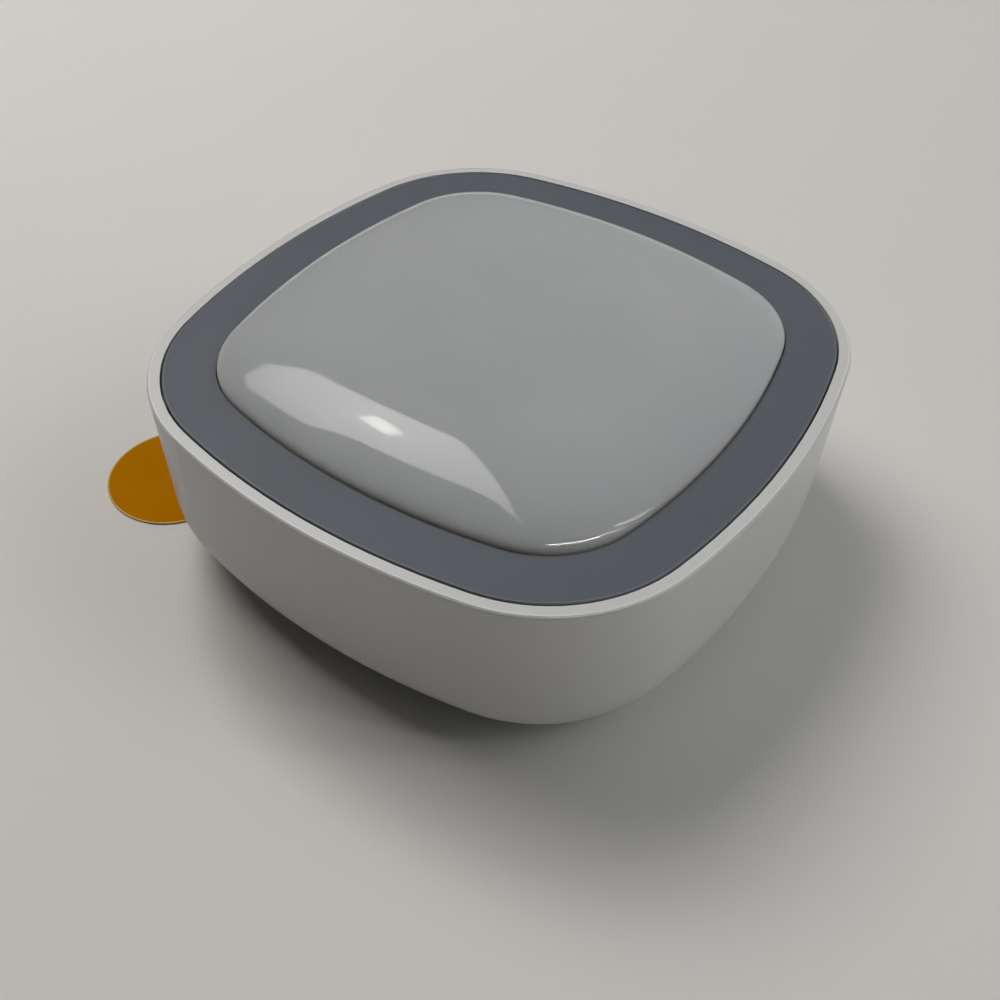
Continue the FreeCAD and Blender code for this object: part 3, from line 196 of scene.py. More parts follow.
    def relief(self, *layers):
        """Bump from (pattern, depth in millimetres) layers, one on top of the other."""
        normal = None
        for pattern, depth in layers:
            bump = self.node("ShaderNodeBump")
            bump.inputs["Strength"].default_value = 1
            bump.inputs["Distance"].default_value = depth * MM
            self.link(pattern, bump.inputs["Height"])
            if normal is not None:
                self.link(normal, bump.inputs["Normal"])
            normal = bump.outputs["Normal"]
        self.link(normal, self.shader.inputs["Normal"])


def white_shell():
    """Outer white moulding, fine satin from a lightly eroded mould."""
    finish = Finish("white_shell_satin", (0.61, 0.61, 0.605), 0.32)
    finish.shade(finish.noise(14, 3), 0.015)
    finish.gloss(finish.noise(5, 4), 0.29, 0.35)
    finish.relief((finish.noise(0.9, 2), 0.006), (finish.noise(0.16, 1), 0.003))
    return finish.material


def grey_bezel():
    """Cool grey ring with a fine matt grain and a few handling marks."""
    finish = Finish("grey_bezel_satin", (0.097, 0.108, 0.125), 0.5)
    finish.shade(finish.noise(11, 3), 0.035)
    finish.gloss(finish.noise(3.5, 4), 0.47, 0.53)
    finish.relief((finish.noise(0.22, 2), 0.003))
    return finish.material


# Levels between which the lens's painted glow fades into its face: its foot is painted a lighter,
# warmer white, standing in for light glowing through it there
LENS_PAINTED_GLOW_LEVELS = (22.1, 22.8)


def milky_lens():
    """Glossy milky polyethylene: light goes a little way into it. Its foot is painted a lighter,
    warmer white: a painted glow of light through the lens there.
    """
    finish = Finish(
        "milky_lens_gloss",
        (0.41, 0.42, 0.425),
        0.045,
        IOR=1.42,
        Subsurface_Weight=1.0,
        Subsurface_Radius=(1.0, 0.95, 0.9),
        Subsurface_Scale=3.5 * MM,
    )
    # Painted glow: the foot is painted lighter and warmer than the face, as if lit through the
    # lens
    painted_glow = finish.height(*LENS_PAINTED_GLOW_LEVELS)
    finish.tint(painted_glow, (0.60, 0.575, 0.54), (0.445, 0.456, 0.463), 0.0, 1.0)
    finish.gloss(finish.noise(9, 3), 0.035, 0.055)
    finish.relief((finish.noise(7, 1), 0.004))
    return finish.material


def amber_film():
    """Amber polyester with a few light scuffs."""
    finish = Finish("amber_film", (0.455, 0.172, 0.001), 0.32, Specular_IOR_Level=0.0)
    finish.tint(finish.noise(12, 2), (0.43, 0.162, 0.0), (0.48, 0.182, 0.002))
    finish.gloss(finish.noise(2.5, 3), 0.29, 0.36)
    finish.relief((finish.noise(8, 1), 0.006))
    return finish.material


def plain_moulding(name, colour, roughness, grain):
    """Plain mouldings, straight from the tool: soft swirl marks and a fine grain."""
    finish = Finish(name, colour, roughness)
    finish.shade(finish.noise(6, 3), 0.03)
    finish.gloss(finish.noise(2.5, 3), roughness - 0.06, roughness + 0.06)
    finish.relief((finish.noise(3, 2), 0.006), (finish.noise(grain, 1), 0.002))
    return finish.material


def foam():
    """Closed-cell foam: small dimples between soft cell walls."""
    finish = Finish("pad_foam", (0.42, 0.42, 0.405), 0.85)
    finish.tint(finish.cells(0.45), (0.50, 0.50, 0.48), (0.33, 0.33, 0.315), 0.1, 0.75)
    finish.relief((finish.cells(0.45), 0.08), (finish.noise(0.15, 2), 0.01))
    return finish.material


def turned_steel():
    """Nickel-plated cell, with the fine rings of its drawn and polished cans."""
    finish = Finish("cell_steel_drawn", (0.62, 0.61, 0.585), 0.24, metallic=1.0)
    rings = finish.noise(0.35, 3, finish.outwards())
    finish.gloss(rings, 0.21, 0.255)
    finish.shade(finish.noise(5, 4), 0.06)
    finish.relief((rings, 0.001))
    return finish.material


def strip_metal(name, colour, roughness, grain=(1.0, 9.0, 9.0)):
    """Rolled or plated metal with a fine grain, which runs along X where no other is given."""
    finish = Finish(name, colour, roughness, metallic=1.0)
    lines = finish.noise(1, 3, finish.stretch(finish.place, grain))
    finish.gloss(lines, roughness - 0.04, roughness + 0.06)
    finish.shade(finish.noise(2.5, 3), 0.06)
    finish.relief((lines, 0.001))
    return finish.material


# Squares of the glass cloth's weave in a millimetre
WEAVE_SQUARES = 2.2


def solder_mask():
    """Green mask over glass cloth: the weave shows as a faint square grid."""
    finish = Finish("board_green_mask", (0.012, 0.105, 0.042), 0.33)
    finish.tint(finish.noise(4, 4), (0.010, 0.088, 0.034), (0.016, 0.120, 0.050))
    weave = finish.node("ShaderNodeTexChecker")
    weave.inputs["Scale"].default_value = WEAVE_SQUARES
    finish.link(finish.place, weave.inputs["Vector"])
    finish.gloss(finish.noise(3, 3), 0.29, 0.37)
    finish.relief((weave.outputs["Fac"], 0.003), (finish.noise(0.5, 2), 0.004))
    return finish.material


def dark_filter():
    """Dark glassy filter with a faint violet cast."""
    finish = Finish("dark_filter", (0.020, 0.016, 0.024), 0.12)
    finish.shade(finish.noise(1.5, 2), 0.15)
    finish.gloss(finish.noise(1, 3), 0.08, 0.16)
    return finish.material


def fired(name, colour, roughness):
    """Fired ceramic: a slightly speckled body."""
    finish = Finish(name, colour, roughness)
    finish.shade(finish.noise(0.25, 3), 0.08)
    finish.gloss(finish.noise(0.6, 2), roughness - 0.05, roughness + 0.08)
    finish.relief((finish.noise(0.2, 2), 0.004))
    return finish.material


def make_finishes():
    """A finish for each material slot of the record, and for looks that only new pieces have."""
    return {
        "white_shell": white_shell(),
        "grey_bezel": grey_bezel(),
        "milky_lens": milky_lens(),
        "amber_film": amber_film(),
        "white_inner": plain_moulding("white_inner_moulding", (0.72, 0.72, 0.70), 0.46, 0.2),
        "black_inner": plain_moulding("black_inner_moulding", (0.022, 0.022, 0.023), 0.4, 0.15),
        "foam": foam(),
        "cell_steel": turned_steel(),
        "spring_steel": strip_metal("spring_steel_strip", (0.66, 0.65, 0.62), 0.33),
        "board": solder_mask(),
        "sensor_metal": strip_metal("sensor_nickel", (0.60, 0.59, 0.56), 0.34, (1.5, 1.5, 0.4)),
        "filter": dark_filter(),
        "ceramic": fired("pale_ceramic", (0.55, 0.50, 0.42), 0.45),
        "copper": strip_metal("gold_plate", (0.80, 0.56, 0.27), 0.33, (2.0, 2.0, 2.0)),
        "chip_black": plain_moulding("chip_black_moulding", (0.026, 0.026, 0.028), 0.55, 0.08),
        "chip_tan": fired("capacitor_body", (0.42, 0.30, 0.18), 0.5),
        "led_white": fired("lamp_body", (0.80, 0.79, 0.74), 0.38),
        # Lighter grey: the turn marks' own colour, and a painted highlight along the ring's
        # rounded edge
        "grey_marks_and_painted_highlight": plain_moulding("grey_bezel_marks_and_painted_highlight", (0.15, 0.16, 0.178), 0.4, 0.3),
        # Lighter white: a painted highlight along the rim's rounded outer edge
        "rim_painted_highlight": plain_moulding("white_rim_painted_highlight", (0.73, 0.73, 0.725), 0.36, 0.3),
        # Pale yellow: a painted glow of light passing through the film
        "film_painted_glow": plain_moulding("amber_film_painted_glow", (0.50, 0.33, 0.06), 0.4, 0.3),
        "masked_copper": plain_moulding("masked_copper_green", (0.030, 0.180, 0.075), 0.36, 0.3),
        "tinned": strip_metal("tinned_pad", (0.70, 0.70, 0.68), 0.34, (2.0, 2.0, 2.0)),
        "legend": plain_moulding("board_legend_white", (0.70, 0.70, 0.66), 0.6, 0.12),
        "phosphor": fired("lamp_phosphor", (0.72, 0.60, 0.12), 0.4),
        "stripe": fired("capacitor_stripe", (0.25, 0.10, 0.04), 0.5),
        "chip_dot": plain_moulding("chip_dot_grey", (0.20, 0.20, 0.20), 0.6, 0.08),
    }


# Mesh helpers
SIDE_STEPS = 26
CORNER_STEPS = 16
SHARP_ANGLE = radians(35)


def box_of(node):
    """A node's lowest and highest corner, in millimetres."""
    return [[value / MM for value in corner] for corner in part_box(node)]


def vertices_of(geometry):
    return [item for item in geometry if isinstance(item, bmesh.types.BMVert)]


def edges_of(vertices):
    return list({edge for vertex in vertices for edge in vertex.link_edges})


def rounded_square(mesh, half, side, corner, level):
    """Ring of eight tangent arcs, spun from one vertex: a side arc and a corner arc a quarter.

    Returns the ring's edges.
    """
    back = side - half
    middle = (sqrt(2 * (side - corner) ** 2 - back**2) - back) / 2
    sweep = atan2(middle, middle + back)
    first = mesh.verts.new((side * cos(sweep) - back, -side * sin(sweep), level))
    last = first
    before = set(mesh.edges)
    for quarter in range(4):
        turn = Matrix.Rotation(quarter * pi / 2, 3, "Z")
        for centre, angle, steps in (
            (Vector((-back, 0, level)), 2 * sweep, SIDE_STEPS),
            (Vector((middle, middle, level)), pi / 2 - 2 * sweep, CORNER_STEPS),
        ):
            spun = bmesh.ops.spin(
                mesh, geom=[last], cent=turn @ centre, axis=(0, 0, 1), angle=angle, steps=steps
            )
            last = vertices_of(spun["geom_last"])[0]
    bmesh.ops.pointmerge(mesh, verts=[first, last], merge_co=first.co)
    return [edge for edge in mesh.edges if edge not in before]


def extrude_edges(mesh, edges, grow, move):
    """Extrudes edges, scales the new ones about the origin and moves them. Returns them."""
    made = bmesh.ops.extrude_edge_only(mesh, edges=edges)["geom"]
    new = set(vertices_of(made))
    bmesh.ops.scale(mesh, vec=grow, verts=list(new))
    bmesh.ops.translate(mesh, vec=move, verts=list(new))
    sides = [item for item in made if isinstance(item, bmesh.types.BMEdge)]
    return [edge for edge in sides if edge.verts[0] in new and edge.verts[1] in new]


def next_ring(mesh, edges, grow=1.0, rise=0.0):
    """Extrudes a ring of edges, scaled about the Z axis and lifted. Returns the new ring."""
    return extrude_edges(mesh, edges, (grow, grow, 1), (0, 0, rise))


def block(mesh, size, at, soften=0.0):
    """Box of a size that stands centred on a place, with its edges softened where asked."""
    made = bmesh.ops.create_cube(mesh, size=1)["verts"]
    bmesh.ops.scale(mesh, vec=size, verts=made)
    bmesh.ops.translate(mesh, vec=(at[0], at[1], at[2] + size[2] / 2), verts=made)
    if soften:
        bmesh.ops.bevel(
            mesh,
            geom=edges_of(made),
            offset=soften,
            affect="EDGES",
            segments=2,
            profile=0.5,
            material=-1,
        )
    return made


def disc(mesh, radius, height, at, sides=24):
    """Round disc that stands on a place."""
    made = bmesh.ops.create_cone(
        mesh, cap_ends=True, segments=sides, radius1=radius, radius2=radius, depth=height
    )["verts"]
    bmesh.ops.translate(mesh, vec=(at[0], at[1], at[2] + height / 2), verts=made)


def tube_ring(mesh, outer, inner, height, at, sides=32):
    """Flat ring that stands on a place."""
    outline = bmesh.ops.create_circle(mesh, segments=sides, radius=outer)["verts"]
    edges = edges_of(outline)
    up = next_ring(mesh, edges, 1.0, height)
    over = next_ring(mesh, up, inner / outer, 0)
    down = next_ring(mesh, over, 1.0, -height)
    bmesh.ops.bridge_loops(mesh, edges=down + edges)
    made = set(outline)
    for ring in (up, over, down):
        made.update(vertex for edge in ring for vertex in edge.verts)
    bmesh.ops.translate(mesh, vec=at, verts=list(made))


# Where two pieces of a flat mark cross, one is this much thicker, so no two faces coincide
HAIR_THICKER = 1.2


def track(mesh, points, width, height, level):
    """Flat copper run through points, with round corners and ends."""
    for start, end in zip(points, points[1:]):
        a, b = Vector(start), Vector(end)
        along = b - a
        made = block(mesh, (along.length, width, height), (0, 0, level))
        turn = Matrix.Rotation(atan2(along.y, along.x), 3, "Z")
        bmesh.ops.rotate(mesh, matrix=turn, verts=made)
        middle = (a + b) / 2
        bmesh.ops.translate(mesh, vec=(middle.x, middle.y, 0), verts=made)
    for x, y in points:
        disc(mesh, width / 2, height * HAIR_THICKER, (x, y, level), 10)


def frame_line(mesh, low, high, width, height, level):
    """Printed rectangle round a part."""
    x0, y0 = low
    x1, y1 = high
    track(mesh, [(x0, y0), (x1, y0), (x1, y1), (x0, y1), (x0, y0)], width, height, level)


def plus_sign(mesh, length, width, height, at):
    """Plus sign that stands on a place."""
    block(mesh, (length, width, height), at)
    thicker = height * HAIR_THICKER
    block(mesh, (width, length, thicker), (at[0], at[1], at[2] - (thicker - height) / 2))


def polar(radius, azimuth):
    return radius * cos(radians(azimuth)), radius * sin(radians(azimuth))


def finish_piece(name, mesh, body, slot, look=None, replaces=()):
    """Scales a modelled piece to metres and gives it its body and the finish of its slot.

    The look is another finish than the slot's, where the piece has one of its own.
    """
    bmesh.ops.recalc_face_normals(mesh, faces=mesh.faces)
    bmesh.ops.scale(mesh, vec=(MM, MM, MM), verts=mesh.verts)
    data = bpy.data.meshes.new(name)
    mesh.to_mesh(data)
    mesh.free()
    data.shade_smooth()
    data.set_sharp_from_angle(angle=SHARP_ANGLE)
    piece = bpy.data.objects.new(name, data)
    bpy.context.scene.collection.objects.link(piece)
    data.materials.append(finishes[look or slot])
    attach(piece, body)
    if replaces:
        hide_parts(*replaces)


# Lens
LENS_SIDE_ARC = 68.5
LENS_CORNER_ARC = 11.1
FLANGE_REACH = 1.2
FLANGE_THICKNESS = 0.8
LENS_WALL = 0.9
LENS_STEP = 0.2
BEZEL_HALF, _, BEZEL_TOP = box_of("bezel_ring")[1]
LENS_LOW, LENS_HIGH = box_of("lens_dome")
LENS_HALF = LENS_HIGH[0] - FLANGE_REACH
LENS_BASE = BEZEL_TOP + LENS_STEP
LENS_RISE = LENS_HIGH[2] - LENS_BASE
LENS_BLUNTNESS = 2.3
DOME_STEPS = 40
CROWN_ANGLE = 89.4
FACETS_ANGLE = 45
FACET_COUNT = 8
FACET_PITCH = 1.6
FACET_DEPTH = 0.3


def lens_ring(mesh, level, grow=0.0):
    return rounded_square(
        mesh, LENS_HALF + grow, LENS_SIDE_ARC + grow, LENS_CORNER_ARC + grow, level
    )


def crown(mesh, ring, rise, last_angle):
    """Draws a ring up over a blunt elliptic profile, as far as an angle on it."""
    share, height = 1.0, 0.0
    for step in range(1, DOME_STEPS + 1):
        angle = radians(last_angle) * step / DOME_STEPS
        new_share = cos(angle) ** (2 / LENS_BLUNTNESS)
        new_height = rise * sin(angle)
        ring = next_ring(mesh, ring, new_share / share, new_height - height)
        share, height = new_share, new_height
    return ring


def milky_dome():
    """Lens: flange under the ring, upright step, crown, and ring facets inside."""
    mesh = bmesh.new()
    flange_low = LENS_LOW[2]
    flange_top = flange_low + FLANGE_THICKNESS
    inner_neck = lens_ring(mesh, flange_low, -LENS_WALL)
    flange_under = lens_ring(mesh, flange_low, FLANGE_REACH)
    flange_over = next_ring(mesh, flange_under, 1.0, FLANGE_THICKNESS)
    neck = lens_ring(mesh, flange_top)
    bmesh.ops.bridge_loops(mesh, edges=inner_neck + flange_under)
    bmesh.ops.bridge_loops(mesh, edges=flange_over + neck)
    step = next_ring(mesh, neck, 1.0, LENS_BASE - flange_top)
    top = crown(mesh, step, LENS_RISE, CROWN_ANGLE)
    bmesh.ops.edgeloop_fill(mesh, edges=top)
    inner_step = next_ring(mesh, inner_neck, 1.0, LENS_BASE - flange_low)
    inside = crown(mesh, inner_step, LENS_RISE - LENS_WALL, FACETS_ANGLE)
    facets = ring_facets(mesh, inside)
    bmesh.ops.edgeloop_fill(mesh, edges=facets)
    finish_piece("milky_dome", mesh, "sensor", "milky_lens", replaces=["lens_dome"])


def inside_level(radius):
    """Height of the lens's inside at a radius."""
    share = (radius / (LENS_HALF - LENS_WALL)) ** LENS_BLUNTNESS
    return LENS_BASE + (LENS_RISE - LENS_WALL) * sqrt(1 - share)


def ring_facets(mesh, ring):
    """Sawtooth rings on the inside of the crown, from the outermost to the middle one."""
    edges_around = len(ring)
    radius = (FACET_COUNT + 1) * FACET_PITCH
    level = inside_level(radius)
    circle = bmesh.ops.create_circle(mesh, segments=edges_around, radius=radius)["verts"]
    bmesh.ops.translate(mesh, vec=(0, 0, level), verts=circle)
    inner = edges_of(circle)
    bmesh.ops.bridge_loops(mesh, edges=ring + inner)
    for index in range(FACET_COUNT, 0, -1):
        narrow = index * FACET_PITCH
        peak = inside_level(narrow) + FACET_DEPTH
        inner = next_ring(mesh, inner, narrow / radius, peak - level)
        inner = next_ring(mesh, inner, 1.0, -FACET_DEPTH)
        radius, level = narrow, peak - FACET_DEPTH
    return inner


# Thin lighter lines a little in from the ring's and the rim's outer edges: painted highlights
# where their rounded edges catch the light
RIM_HALF, _, RIM_TOP = box_of("housing")[1]
BEZEL_SIDE_ARC = 76.44
BEZEL_CORNER_ARC = 16.64
BEZEL_LINE_INSET = 0.10
BEZEL_LINE_WIDTH = 0.13
RIM_SIDE_ARC = 77.9
RIM_CORNER_ARC = 18.1
RIM_LINE_INSET = 0.20
RIM_LINE_WIDTH = 0.12
EDGE_PROUD = 0.02


def edge_line(name, outline, inset, width, level, slot, look):
    """Thin line round a face, a little in from its outline: half width, side arc, corner arc."""
    mesh = bmesh.new()
    rings = []
    for depth in (inset, inset + width):
        low = rounded_square(mesh, *(size - depth for size in outline), level - EDGE_PROUD)
        rings += [low, next_ring(mesh, low, 1.0, 2 * EDGE_PROUD)]
    bmesh.ops.bridge_loops(mesh, edges=rings[0] + rings[2])
    bmesh.ops.bridge_loops(mesh, edges=rings[1] + rings[3])
    finish_piece(name, mesh, "sensor", slot, look)


def edge_lines():
    # Each line is a painted highlight: a lighter strip where a rounded edge catches the light
    edge_line(
        "bezel_painted_highlight_line",
        (BEZEL_HALF, BEZEL_SIDE_ARC, BEZEL_CORNER_ARC),
        BEZEL_LINE_INSET,
        BEZEL_LINE_WIDTH,
        BEZEL_TOP,
        "grey_bezel",
        "grey_marks_and_painted_highlight",
    )
    edge_line(
        "rim_painted_highlight_line",
        (RIM_HALF, RIM_SIDE_ARC, RIM_CORNER_ARC),
        RIM_LINE_INSET,
        RIM_LINE_WIDTH,
        RIM_TOP,
        "white_shell",
        "rim_painted_highlight",
    )


# Pull tab. A reach is a distance from the part's middle, along the film.
TAB_AZIMUTH = radians(212.3)
TAB_NECK = 8.0
TAB_RADIUS = 7.8
TAB_MIDDLE = 38.9
FILM_THICKNESS = 0.15
FILM_START = -4.0
FILM_HIGH = 3.475
FILM_LOW = 0.575
BEND_START = 25.0
BEND_END = 29.5
DROOP_END = 35.0
FILM_ON_DESK = 0.105
FILM_STEP = 0.5
FILM_TIP = 2.0
FILM_CUTS_ACROSS = 7
# Width, lift and start of the pale band round the grip, a painted glow of light through the film
FILM_GLOW_WIDTH = 0.16
FILM_GLOW_PROUD = 0.01
FILM_GLOW_FROM = 0.05


def film_level(reach):
    """Height of the film's middle at a reach from the part's middle. It ends flat on the desk."""
    level = FILM_HIGH
    for start, end, low in (
        (BEND_START, BEND_END, FILM_LOW), (BEND_END, DROOP_END, FILM_ON_DESK)
    ):
        share = min(max((reach - start) / (end - start), 0), 1)
        level -= (level - low) * (1 - cos(pi * share)) / 2
    return level


def film_half(reach):
    """Half width of the film: a strip that runs into a round grip."""
    off = reach - TAB_MIDDLE
    grip = sqrt(max(TAB_RADIUS**2 - off**2, 0))
    return grip if off > 0 else max(grip, TAB_NECK / 2)


def pull_film():
    """Amber film: a strip from under the cell out to a round grip that lies on the desk."""
    mesh = bmesh.new()
    start = mesh.verts.new((FILM_START, -TAB_NECK / 2, film_level(FILM_START)))
    end = bmesh.ops.extrude_vert_indiv(mesh, verts=[start])["verts"][0]
    bmesh.ops.translate(mesh, vec=(0, TAB_NECK, 0), verts=[end])
    bmesh.ops.subdivide_edges(mesh, edges=list(mesh.edges), cuts=FILM_CUTS_ACROSS)
    edges = list(mesh.edges)
    reach = FILM_START
    tip = TAB_MIDDLE + TAB_RADIUS
    while reach < tip - FILM_STEP / 4:
        left = tip - reach
        further = reach + (FILM_STEP if left > FILM_TIP else left / 3)
        widen = film_half(further) / film_half(reach)
        lift = film_level(further) - film_level(reach)
        edges = extrude_edges(mesh, edges, (1, widen, 1), (further - reach, 0, lift))
        reach = further
    bmesh.ops.recalc_face_normals(mesh, faces=mesh.faces)
    bmesh.ops.solidify(mesh, geom=mesh.faces[:], thickness=FILM_THICKNESS)
    bmesh.ops.translate(mesh, vec=(0, 0, FILM_THICKNESS / 2), verts=mesh.verts)
    bmesh.ops.rotate(mesh, matrix=Matrix.Rotation(TAB_AZIMUTH, 3, "Z"), verts=mesh.verts)
    finish_piece("amber_pull_film", mesh, "tab", "amber_film", replaces=["pull_tab"])


def film_painted_glow_edge():
    """Pale yellow band round the film's grip: a painted glow of the light that passes through the
    amber film.
    """
    mesh = bmesh.new()
    tube_ring(
        mesh,
        TAB_RADIUS + FILM_GLOW_PROUD,
        TAB_RADIUS - FILM_GLOW_WIDTH,
        FILM_THICKNESS + 2 * FILM_GLOW_PROUD,
        (TAB_MIDDLE, 0, 0),
        96,
    )
    neck_end = TAB_MIDDLE - sqrt(TAB_RADIUS**2 - TAB_NECK**2 / 4)
    bmesh.ops.bisect_plane(
        mesh,
        geom=mesh.verts[:] + mesh.edges[:] + mesh.faces[:],
        plane_co=(neck_end + FILM_GLOW_FROM, 0, 0),
        plane_no=(-1, 0, 0),
        clear_outer=True,
    )
    bmesh.ops.holes_fill(mesh, edges=mesh.edges)
    for vertex in mesh.verts:
        lift = film_level(vertex.co.x) - FILM_THICKNESS / 2 - FILM_GLOW_PROUD
        bmesh.ops.translate(mesh, vec=(0, 0, lift), verts=[vertex])
    bmesh.ops.rotate(mesh, matrix=Matrix.Rotation(TAB_AZIMUTH, 3, "Z"), verts=mesh.verts)
    finish_piece("film_painted_glow_edge", mesh, "tab", "amber_film", "film_painted_glow")


# Marks under the part: a triangle on the base plate, a dot and a ring on the housing
MARK_AZIMUTH = 65
TWIST = 20
MARK_PROUD = 0.12
POINTER_REACH = 19.6
POINTER_RADIUS = 1.3
POINTER_TOP_RADIUS = 1.2
DOT_REACH = 23.9
DOT_RADIUS = 0.7
RING_OUTER = 0.75
RING_INNER = 0.45


def turn_marks():
    underside = box_of("base_plate")[0][2]
    mesh = bmesh.new()
    pointer = bmesh.ops.create_cone(
        mesh,
        cap_ends=True,
        segments=3,
        radius1=POINTER_RADIUS,
        radius2=POINTER_TOP_RADIUS,
        depth=MARK_PROUD,
    )["verts"]
    bmesh.ops.rotate(mesh, matrix=Matrix.Rotation(radians(MARK_AZIMUTH), 3, "Z"), verts=pointer)
    x, y = polar(POINTER_REACH, MARK_AZIMUTH)
    bmesh.ops.translate(mesh, vec=(x, y, underside - MARK_PROUD / 2), verts=pointer)
    finish_piece("base_pointer", mesh, "base", "grey_bezel", "grey_marks_and_painted_highlight")
    mesh = bmesh.new()
    level = underside - MARK_PROUD
    open_at = (*polar(DOT_REACH, MARK_AZIMUTH - TWIST), level)
    disc(mesh, DOT_RADIUS, MARK_PROUD, (*polar(DOT_REACH, MARK_AZIMUTH), level), 32)
    tube_ring(mesh, RING_OUTER, RING_INNER, MARK_PROUD, open_at)
    finish_piece("housing_turn_marks", mesh, "sensor", "grey_bezel", "grey_marks_and_painted_highlight")


# Prints and platings, which sink a little into the face that they are on
PRINT_HEIGHT = 0.03
PRINT_SINK = 0.01


# Cell
PLUS_REACH = 7.6
PLUS_AZIMUTH = 302
PLUS_LENGTH = 3.0
PLUS_WIDTH = 0.45


def cell_mark():
    """Plus sign on the face of the cell that looks down."""
    mesh = bmesh.new()
    face = box_of("coin_cell")[0][2]
    at = (*polar(PLUS_REACH, PLUS_AZIMUTH), face - PRINT_HEIGHT + PRINT_SINK)
    plus_sign(mesh, PLUS_LENGTH, PLUS_WIDTH, PRINT_HEIGHT, at)
    finish_piece("cell_plus_mark", mesh, "sensor", "cell_steel", "chip_dot")


# Small parts on the board
BOARD_TOP = box_of("main_board")[1][2]
CAPACITOR_X = [-14 + 4 * index for index in range(8)]
CAPACITOR_Y = 14.0
RESISTOR_X = [-12 + 4 * index for index in range(7)]
RESISTOR_Y = -8.8
CHIP_ROWS = (
    ("chip_capacitors", CAPACITOR_X, CAPACITOR_Y),
    ("chip_resistors", RESISTOR_X, RESISTOR_Y),
)
CHIP_LENGTH = 1.6
CHIP_WIDTH = 0.8
END_LENGTH = 0.35
END_PROUD = 0.03
END_SOFTNESS = 0.04
AMPLIFIER = (-14.0, 4.0)
LEG_PITCH = 1.27
LEG_X = [AMPLIFIER[0] + LEG_PITCH * (index - 1.5) for index in range(4)]
LEG_Y = (1.25, 6.75)


def chip_ends():
    """Tinned ends of the chip capacitors and resistors."""
    mesh = bmesh.new()
    for node, places, y in CHIP_ROWS:
        low, high = box_of(node)
        size = (END_LENGTH, CHIP_WIDTH + 2 * END_PROUD, high[2] - low[2] + END_PROUD)
        reach = (CHIP_LENGTH + 2 * END_PROUD - END_LENGTH) / 2
        for x in places:
            for side in (-1, 1):
                block(mesh, size, (x + side * reach, y, BOARD_TOP), END_SOFTNESS)
    finish_piece("chip_ends", mesh, "sensor", "sensor_metal", "tinned")


TERMINAL_SIZE = (0.24, 2.4, 1.2)
TERMINAL_SOFTNESS = 0.05
STRIPE_WIDTH = 1.1
STRIPE_AT = 1.0
STRIPE_MARGIN = 0.15


def bulk_capacitor_details():
    """The large capacitor's terminals, and the stripe at its positive end."""
    low, high = box_of("bulk_capacitor")
    middle_y = (low[1] + high[1]) / 2
    mesh = bmesh.new()
    for x in (low[0], high[0]):
        block(mesh, TERMINAL_SIZE, (x, middle_y, BOARD_TOP), TERMINAL_SOFTNESS)
    finish_piece("bulk_capacitor_terminals", mesh, "sensor", "sensor_metal", "tinned")
    mesh = bmesh.new()
    size = (STRIPE_WIDTH, high[1] - low[1] - 2 * STRIPE_MARGIN, PRINT_HEIGHT)
    block(mesh, size, (low[0] + STRIPE_AT, middle_y, high[2] - PRINT_SINK))
    finish_piece("bulk_capacitor_stripe", mesh, "sensor", "chip_tan", "stripe")


AMPLIFIER_DOT_AT = (AMPLIFIER[0] - 1.8, AMPLIFIER[1] - 1.3)
AMPLIFIER_DOT_RADIUS = 0.32
AMPLIFIER_DOT_HEIGHT = 0.02
PHOSPHOR_RADIUS = 1.05


def chip_marks():
    """The dot at the amplifier's first leg, and the lamp's phosphor."""
    mesh = bmesh.new()
    top = box_of("amplifier_chip")[1][2]
    at = (*AMPLIFIER_DOT_AT, top - PRINT_SINK / 2)
    disc(mesh, AMPLIFIER_DOT_RADIUS, AMPLIFIER_DOT_HEIGHT, at)
    finish_piece("amplifier_dot", mesh, "sensor", "chip_black", "chip_dot")
    mesh = bmesh.new()
    low, high = box_of("status_led")
    at = ((low[0] + high[0]) / 2, (low[1] + high[1]) / 2, high[2] - PRINT_SINK)
    disc(mesh, PHOSPHOR_RADIUS, PRINT_HEIGHT, at, 40)
    finish_piece("lamp_phosphor", mesh, "sensor", "led_white", "phosphor")


ELECTRODE_X = (-0.95, 0.95)
ELECTRODE_SIZE = (1.0, 2.1, PRINT_HEIGHT)
ELECTRODE_SOFTNESS = 0.01


def element_electrodes():
    """Two plated electrodes on the sensor's ceramic."""
    mesh = bmesh.new()
    level = box_of("pir_element")[1][2] - PRINT_SINK
    for x in ELECTRODE_X:
        block(mesh, ELECTRODE_SIZE, (x, 0, level), ELECTRODE_SOFTNESS)
    finish_piece("element_electrodes", mesh, "sensor", "sensor_metal")


RIB_INSET = 0.9
RIB_WIDTH = 0.3
RIB_HEIGHT = 0.06
BOSS_X = (-5.6, 2.1)
BOSS_Y = (-21.4, -14.6)
BOSS_OUTER = 0.45
BOSS_INNER = 0.25
BOSS_HEIGHT = 0.05
EDGE_PAD_INSET = 0.15
EDGE_PAD_SIZE = (0.38, 0.6)
EDGE_PAD_PROUD = 0.04
EDGE_PAD_SOFTNESS = 0.05
EDGE_PAD_START = -23.0
EDGE_PAD_PITCH = 1.27
EDGE_PAD_COUNT = 8


